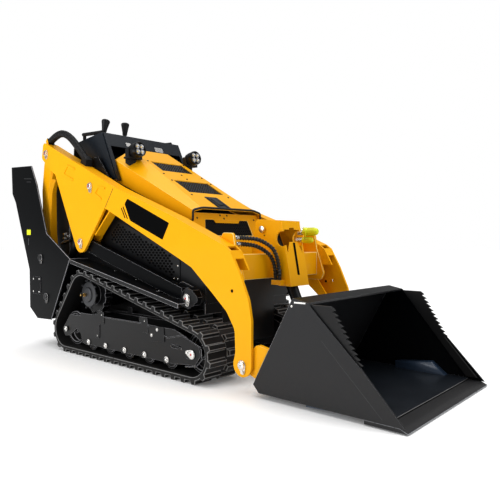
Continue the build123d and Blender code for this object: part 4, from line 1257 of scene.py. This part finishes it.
def coupler_cap(length, radius):
    """Ribbed cap, about +Z from its open end."""
    body = turned([(0.0, 0.0), (0.94, 0.0), (1.0, 0.003 / length), (1.0, 0.18), (0.88, 0.24),
                   (0.88, 0.80), (0.80, 0.92), (0.5, 1.0), (0.0, 1.0)], 32, radius, length)
    grip = block((radius * 0.89, 0.0, length * 0.53), (radius * 0.16, radius * 0.20, length * 0.50),
                 radius * 0.04, 1)
    grips = []
    for i in range(GRIPS):
        copy = twin(grip)
        copy.rotation_euler = (0.0, 0.0, 2 * math.pi * i / GRIPS)
        grips.append(settle(copy))
    bpy.data.objects.remove(grip)
    return joined([body] + grips)

# %% Two couplers
bodies, caps = [], []
for x, y, z, body_length, cap_length, cap_radius in (
        (0.439, 0.250, 0.694, 0.062, 0.084, 0.022), (0.439, 0.246, 0.650, 0.058, 0.060, 0.017)):
    for maker, length, radius, start, store in (
            (coupler_body, body_length, cap_radius * 0.72, x, bodies),
            (coupler_cap, cap_length, cap_radius, x + body_length - 0.006, caps)):
        part = maker(length, radius)
        part.rotation_euler = (0.0, math.pi / 2, 0.0)
        part.location = (start, y, z)
        store.append(settle(part))
couplings = joined(bodies)
hand_over(couplings, "coupler_bodies", "lift_arms", "zinc")
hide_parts("couplers")
caps.append(path_tube([(0.500, 0.236, 0.716), (0.520, 0.224, 0.700), (0.524, 0.222, 0.672),
                                (0.506, 0.232, 0.655)], 0.0028))
hand_over(joined(caps), "coupler_caps", "lift_arms", None, yellow_plastic)
print("two couplers with caps")

# %% [markdown]
# ## Bolts, where the machine is bolted
#
# A track frame is held together by what can be unbolted from it: domed axle
# bolts at the five rollers and the rear idler, and smaller ones on the covers.
# One bolt of each size is copied to rows of places, each with the direction that
# it faces, and mirrored to the other side.

# %% Axle bolts and cover bolts
ROLLER_X = (-0.473, -0.310, -0.141, 0.024, 0.191)
FRAME_FACE, PLATE_FACE = 0.4338, 0.4378
axle_rows = facing_right(0.4375, [(x, 0.086) for x in ROLLER_X]) + facing_right(0.4410, [(-0.704, 0.135)])
side_bolts(0.0155, axle_rows, "axle_bolts")

GUARD_OUT = (0.19, 0.0, 0.98)
cover_rows = facing_right(0.3180, [(0.136, 0.523), (0.108, 0.458), (0.136, 0.457)])
cover_rows += [(place, GUARD_OUT) for place in ((-0.358, -0.343, 0.4800), (-0.159, -0.348, 0.4410),
                                                (0.056, -0.371, 0.3990))]
cover_rows += facing_right(0.3140, [(-0.590, 0.556)])
side_bolts(0.0050, cover_rows, "cover_bolts")
print(len(axle_rows) * 2, "axle bolts,", len(cover_rows) * 2, "cover bolts")

# %% Idler pins and the adjuster's cover
flag_template.rotation_euler = (0.0, math.radians(115), 0.0)
settle(flag_template)
flag_template.scale.y = FLUSH
IDLER_X, IDLER_OUT, IDLER_Z = 0.365, 0.4370, 0.134
pair(move(flag_template, IDLER_X, -IDLER_OUT, IDLER_Z), "idler_pin", "machine", "zinc")

cover = flat_plate([rounded_loop([(0.050, 0.230), (0.171, 0.238), (0.175, 0.166), (0.068, 0.158)], 0.003)],
                   0.0040, 0.0009)
pair(move(smooth(cover), y=-FRAME_FACE), "adjuster_cover", "machine", "black_paint")
side_bolts(0.0085, facing_right(PLATE_FACE, [(0.121, 0.220), (0.080, 0.189)]), "adjuster_bolts")

# %% [markdown]
# ## Drive hub
#
# The final drive turns the sprocket through a ring of bolts. Its planetary case
# ends in a turned grey cap, and a brass plug closes the oil hole in the middle.

# %% Hub
SPROCKETS = (body_of_node["sprocket_right"], body_of_node["sprocket_left"])
hub_low, hub_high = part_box("sprocket_right")
HUB_X, HUB_Z = (hub_low[0] + hub_high[0]) / 2, (hub_low[2] + hub_high[2]) / 2
case = turned([(0.0, 0.0120), (0.0200, 0.0120), (0.0250, 0.0095), (0.0380, 0.0085), (0.0430, 0.0040),
               (0.0440, -0.0010), (0.0560, -0.0015), (0.0610, -0.0040), (0.0700, -0.0050),
               (0.0720, -0.0100), (0.0, -0.0100)], 48)
plug = joined([hex_bolt(0.019, 0.010, 1.1), turned([
    (0.0, 0.0300), (0.0052, 0.0296), (0.0058, 0.0270), (0.0058, 0.0115), (0.0, 0.0115)], 16)])
for part, name, slot, material, out in ((case, "hub_case", "iron", hub_grey, 0.4000),
                                        (plug, "hub_plug", "zinc", brass, 0.4160)):
    right = at_place(part, (HUB_X, -out, HUB_Z), RIGHT)
    bpy.data.objects.remove(part)
    pair(right, name, SPROCKETS, slot, material)
BOLT_CIRCLE, BOLT_COUNT = 0.0795, 10
hub_rows = facing_right(0.3900, ring_points(HUB_X, HUB_Z, BOLT_CIRCLE, BOLT_COUNT))
ring = scattered(hex_bolt(0.0095, 0.006), hub_rows)
pair(ring, "hub_bolts", SPROCKETS, "zinc", hub_grey)
print("hub at", round(HUB_X, 3), round(HUB_Z, 3), "sprocket y", round(hub_low[1], 3), round(hub_high[1], 3))

# %% [markdown]
# ## Straps, ridges and keeper plates of the undercarriage
#
# A track frame is welded up from thin plate, and its face is broken by straps, a
# pressed ridge and a raised nose. Each is a flat outline from a saw or a laser,
# so each is drawn as one closed curve, bevelled, and laid on the frame's face. A
# bent plate keeps the lower link's front pin in place.

# %% Plates on the track frame
def side_pair(plates, name, slot, depth, body="machine", material=None, width=0.0014):
    """Flat pieces joined and softened, set on the right side at a depth, and mirrored to the left."""
    pair(move(soften(joined(plates), width, 1), y=-depth), name, body, slot, material)


STRAPS = [
    [(-0.436, 0.241), (-0.328, 0.265), (-0.326, 0.200), (-0.368, 0.193), (-0.369, 0.119),
     (-0.404, 0.116), (-0.422, 0.176), (-0.436, 0.193)],
    [(-0.003, 0.266), (0.045, 0.271), (0.049, 0.194), (0.000, 0.195)],
]
NOSE = [(0.203, 0.188), (0.302, 0.208), (0.424, 0.166), (0.429, 0.119), (0.391, 0.083), (0.319, 0.072)]
RIDGE = [(-0.326, 0.237), (-0.021, 0.238), (0.024, 0.239), (0.197, 0.189), (0.296, 0.212), (0.421, 0.172)]
side_pair([flat_plate([rounded_loop(loop[::-1], 0.005)], 0.0040) for loop in STRAPS],
          "track_straps", "black_paint", FRAME_FACE)
side_pair([flat_plate([bent_bar(RIDGE, 0.006)], 0.0034)], "track_ridge", "black_paint", FRAME_FACE)
side_pair([flat_plate([bent_bar(NOSE[2:], 0.006)], 0.0034),
           flat_plate([bent_bar([(0.221, 0.160), (0.294, 0.149)], 0.010)], 0.0022)],
          "track_nose_rim", "black_paint", FRAME_FACE)
KEEPER = [(0.270, 0.426), (0.312, 0.419), (0.352, 0.385), (0.352, 0.367), (0.287, 0.329),
          (0.219, 0.346), (0.236, 0.374), (0.261, 0.393)]
side_pair([flat_plate([rounded_loop(KEEPER, 0.006)], 0.0048)], "link_keeper", "black_paint", 0.3852,
          width=0.0022)
side_bolts(0.0042, facing_right(PLATE_FACE, [(-0.345, 0.247), (-0.387, 0.131), (0.024, 0.252)]),
           "strap_rivets")
print("straps, ridge, nose and keeper on both sides")

# %% [markdown]
# ## Centres of the pins
#
# Each pin head but the hitch's has a red plastic cap over its nipple, which shows
# that it was greased. It is a small turned dome.

# %% Grease caps
CAP_PIVOTS = [row for row in PIVOTS if row[0] != "hitch"]


def grease_cap(share):
    """Small dome over a nipple, its height a share of the full one."""
    return turned([(0.0, 0.0166), (0.0030, 0.0160), (0.0048, 0.0144), (0.0054, 0.0118),
                   (0.0, 0.0118)], 16, tall=share)


cap_templates = {True: grease_cap(FLUSH), False: grease_cap(1.0)}
for name, x, z, off, body in CAP_PIVOTS:
    pair(at_place(cap_templates[off > OUTERMOST], (x, -off, z), RIGHT), name + "_cap", body, None, red_paint)
pair(at_place(cap_templates[True], (IDLER_X, -IDLER_OUT, IDLER_Z), RIGHT), "idler_cap", "machine", None,
     red_paint)
for template in cap_templates.values():
    bpy.data.objects.remove(template)
print(2 * len(CAP_PIVOTS) + 2, "grease caps")

# %% [markdown]
# ## Details of the rear side panels
#
# The panel behind the rear link carries a small yellow plate, a slot for a strap,
# two pressed lines and the bolted cover of the cylinder's pivot. They are thin
# plates again, with domed bolts on the corners of the cover.

# %% Rear panel
PANEL_FACE = 0.4402
yellow_tag = [(-1.173, 0.716), (-1.122, 0.716), (-1.122, 0.682), (-1.173, 0.682)]
side_pair([flat_plate([rounded_loop(yellow_tag, 0.002)], 0.0010)], "panel_tag", None, PANEL_FACE,
          material=yellow_plastic)
# The grey strips are the strap's slot and two pressed lines; on the pressed lines the grey is a painted
# highlight along the crease.
side_pair([flat_plate([bent_bar(line, width)], 0.0012) for line, width in (
    ([(-1.150, 0.661), (-1.150, 0.618)], 0.008), ([(-1.205, 1.042), (-1.106, 1.034)], 0.0030),
    ([(-1.172, 1.019), (-1.113, 1.015)], 0.0030))],
          "panel_lines", "black_paint", PANEL_FACE, material=hub_grey)
cover_loop = [(-1.098, 0.422), (-0.999, 0.424), (-1.000, 0.316), (-1.100, 0.316)]
side_pair([flat_plate([rounded_loop(cover_loop, 0.008)], 0.0030)], "panel_cover", "black_paint",
          PANEL_FACE, material=deep_black)
corners = [(x + dx, z + dz) for (x, z), (dx, dz) in zip(
    cover_loop, ((0.014, -0.014), (-0.014, -0.014), (-0.014, 0.014), (0.014, 0.014)))]
side_bolts(0.0060, facing_right(0.4432, corners), "panel_bolts")
print("rear panels dressed")

# %% [markdown]
# ## Hydraulic ports behind the arm
#
# Oil leaves the body through three plated ports behind each arm. A port is a
# hexagon root with a short turned neck; the steel pipe that runs below them is a
# NURBS tube.

# %% Ports
port = joined([hex_bolt(0.018, 0.009, 1.2), turned([
    (0.0, 0.0165), (0.0060, 0.0165), (0.0066, 0.0150), (0.0066, 0.0080), (0.0, 0.0080)], 20)])
port_rows = facing_right(BODY_FACE, [(-0.922, 0.686), (-0.922, 0.661), (-0.886, 0.672)])
hand_over(scattered(port, both_sides(port_rows)), "body_ports", "machine", "zinc")
PIPE = [(-0.953, 0.629), (-0.930, 0.641), (-0.890, 0.640), (-0.854, 0.652)]
pipe = path_tube([(x, -0.3225, z) for x, z in PIPE], 0.0070)
pair(pipe, "body_pipe", "machine", "zinc", steel)
print(len(port_rows), "ports on each side")

# %% [markdown]
# ## The bracket between the arms
#
# The bracket's cheeks carry the cylinder's upper pin, whose plated head shows on
# both sides, with a small hole below it. A slot runs down the bent face, and each
# arm has a hole of its own. All of these holes are thin dark discs and strips,
# which paint the shade inside them.

# %% Bracket pin, slot and holes
pin = turned([(0.0, 0.0085), (0.0130, 0.0085), (0.0165, 0.0066), (0.0175, 0.0010), (0.0, 0.0)], 32)
eye = turned([(0.0, 0.0007), (0.0034, 0.0007), (0.0034, 0.0), (0.0, 0.0)], 16)
pins = scattered(pin, both_sides(facing_right(0.0782, [(0.478, 0.702)])))
hand_over(pins, "bracket_pin", "lift_arms", "zinc")
# Dark discs below the pins paint the shade in the small holes.
eyes = scattered(eye, both_sides(facing_right(0.0722, [(0.488, 0.672)])))
hand_over(eyes, "bracket_hole_shades", "lift_arms", "black_plastic", decal_and_shade_black)
WRAP_OUT = Vector((0.982, 0.0, 0.189)).normalized()
# The slot is a dark strip of painted shade.
slot_loop = rounded_loop([(-0.008, 0.0), (0.008, 0.0), (0.008, 0.156), (-0.008, 0.156)], 0.003)
slot_strip = laid(flat_plate([slot_loop], FILM), (0.6406, 0.0, 0.4840), (0, 1, 0), WRAP_OUT)
hand_over(slot_strip, "bracket_slot_shade", "lift_arms", "black_plastic", decal_and_shade_black)
# Dark discs on both faces of each arm paint the shade in its hole.
arm_hole_shade = flat_plate([ring_points(0.581, 0.432, 0.0062, 20)], FILM)
arm_pair(arm_hole_shade, "arm_hole_shade", "black_plastic", decal_and_shade_black)
inner_hole = move(flat_plate([ring_points(0.581, 0.432, 0.0068, 20)], FILM), y=0.3260)
pair(turned_over(inner_hole), "arm_inner_hole_shade", "lift_arms", "black_plastic", decal_and_shade_black)
bpy.data.objects.remove(inner_hole)
print("bracket dressed")

# %% [markdown]
# ## The apron
#
# Below the front bulkhead a low apron closes the gap on each side of the tilt
# cylinder. It is folded sheet, so two softened boxes are enough.

# %% Apron below the front bulkhead
aprons = [block((0.322, y, 0.326), (0.008, 0.114, 0.056), 0.0015) for y in (-0.257, 0.257)]
hand_over(joined(aprons), "front_apron", "machine", "black_paint")
print("apron in", len(aprons), "halves")

# %% [markdown]
# ## Painted highlights and details of the bucket
#
# A welded bucket has a bright strip on the top edge of each side, painted there as
# a highlight, a bolt at the upper corner of each side and a fold that runs down to
# the cutting edge, drawn as a grey line of painted highlight. Inside, a seam
# crosses the floor, and a gusset stands in each corner, its face a bluish black as
# a painted reflection.

# %% Bucket details
BUCKET_FACE = 0.4048
# A thin zinc strip on the top edge of each side paints its highlight.
side_pair([flat_plate([[(0.912, 0.4115), (0.966, 0.4120), (0.966, 0.4060), (0.912, 0.4050)]], 0.0012)],
          "bucket_edge_highlight", "zinc", BUCKET_FACE, "bucket")
# A grey line along the fold paints the highlight on the crease.
side_pair([flat_plate([bent_bar([(1.037, 0.276), (1.287, 0.034)], 0.0016)], 0.0006)],
          "bucket_fold_highlight", "black_paint", BUCKET_FACE, "bucket", hub_grey)
side_bolts(0.0050, facing_right(0.4050, [(0.900, 0.393)]), "bucket_bolts", "bucket")
gusset = flat_plate([[(0.960, 0.010), (0.960, 0.062), (1.140, 0.082), (1.212, 0.024)]], 0.0400)
# The gusset's face is a bluish black, a painted reflection.
side_pair([gusset], "bucket_gusset", "black_paint", 0.3560, "bucket", blue_painted_reflection, 0.0030)
seam = path_tube([(1.300, -0.380, 0.0250), (1.300, 0.0, 0.0250), (1.300, 0.380, 0.0250)], 0.0016)
hand_over(seam, "bucket_floor_seam", "bucket", "black_paint", steel)
print("bucket dressed")

# %% [markdown]
# ## Black blocks on a yellow arm
#
# The hose clamps on top of each arm are moulded in black, although they are
# part of the arm's solid. A mesh may hold two materials, with each face choosing
# one by number, so the faces that lie above the arm's edge take the second. The
# eye of the tilt rod gets its colour in this way too, and so does the bucket's
# inside: its walls take a deeper black as painted shade, and its floor a bluish
# black as a painted reflection.

# %% Where the second colours go
CLAMPS = [(-0.664, -0.592, 1.060), (-1.034, -0.984, 1.206)]   # lowest x, highest x, lowest z
CLAMP_Y, CLAMP_HALF = 0.357, 0.020
INSIDE_X, INSIDE_HALF, UNDERSIDE_Z = 0.93, 0.3985, 0.010
FLOOR_Z, STEEPEST_FLOOR, OVERHANG = 0.08, 0.85, -0.2   # a height, and the Z of two normals
ROD_EYE, ROD_EYE_RADIUS = Vector((0.684, 0.240)), 0.060


def repaint(node, materials, number_of):
    """Add materials to a rounded solid; number_of gives the number of each face's material."""
    mesh = rounded[node].data
    for material in materials:
        mesh.materials.append(material)
    for face in mesh.polygons:
        face.material_index = number_of(mesh, face)


def on_arm(mesh, face):
    """1 on a clamp block, 0 elsewhere."""
    if abs(abs(face.center.y) - CLAMP_Y) >= CLAMP_HALF:
        return 0
    spots = [mesh.vertices[v].co for v in face.vertices]
    return int(any(all(low_x <= co.x <= high_x and co.z >= low_z for co in spots)
                   for low_x, high_x, low_z in CLAMPS))


def in_bucket(mesh, face):
    """0 outside, 1 on the inner walls, painted darker as shade, 2 on the floor, painted with a bluish
    reflection.
    """
    x, y, z = face.center
    if x <= INSIDE_X or abs(y) >= INSIDE_HALF or z <= UNDERSIDE_Z or face.normal.z <= OVERHANG:
        return 0
    return 2 if face.normal.z > STEEPEST_FLOOR and z < FLOOR_Z else 1


def on_rod(mesh, face):
    """1 on the rod's eye, 0 on the rod."""
    return int((Vector((face.center.x, face.center.z)) - ROD_EYE).length < ROD_EYE_RADIUS)

# %% Clamp blocks, the bucket's inside and the rod
for node in ("loader_arm_right", "loader_arm_left"):
    repaint(node, [black_plastic], on_arm)
# The bucket's inner walls take a deeper black as painted shade, and its floor a bluish black as painted
# reflection.
repaint("bucket", [deep_black, floor_painted_reflection], in_bucket)
repaint("tilt_rod", [deep_black], on_rod)
rounded["tilt_rod"].data.materials[0] = steel
print("clamp blocks, bucket and rod repainted")

# %% Floor finish
floor_finish = finish("studio_floor", (0.92, 0.92, 0.92), 0.6, drift=0.0, dust=0.0, depth=0.0)
shader = floor_finish.node_tree.nodes["Principled BSDF"]
shader.inputs["Emission Color"].default_value = (1.0, 1.0, 1.0, 1.0)
shader.inputs["Emission Strength"].default_value = 0.10
floor.data.materials.append(floor_finish)
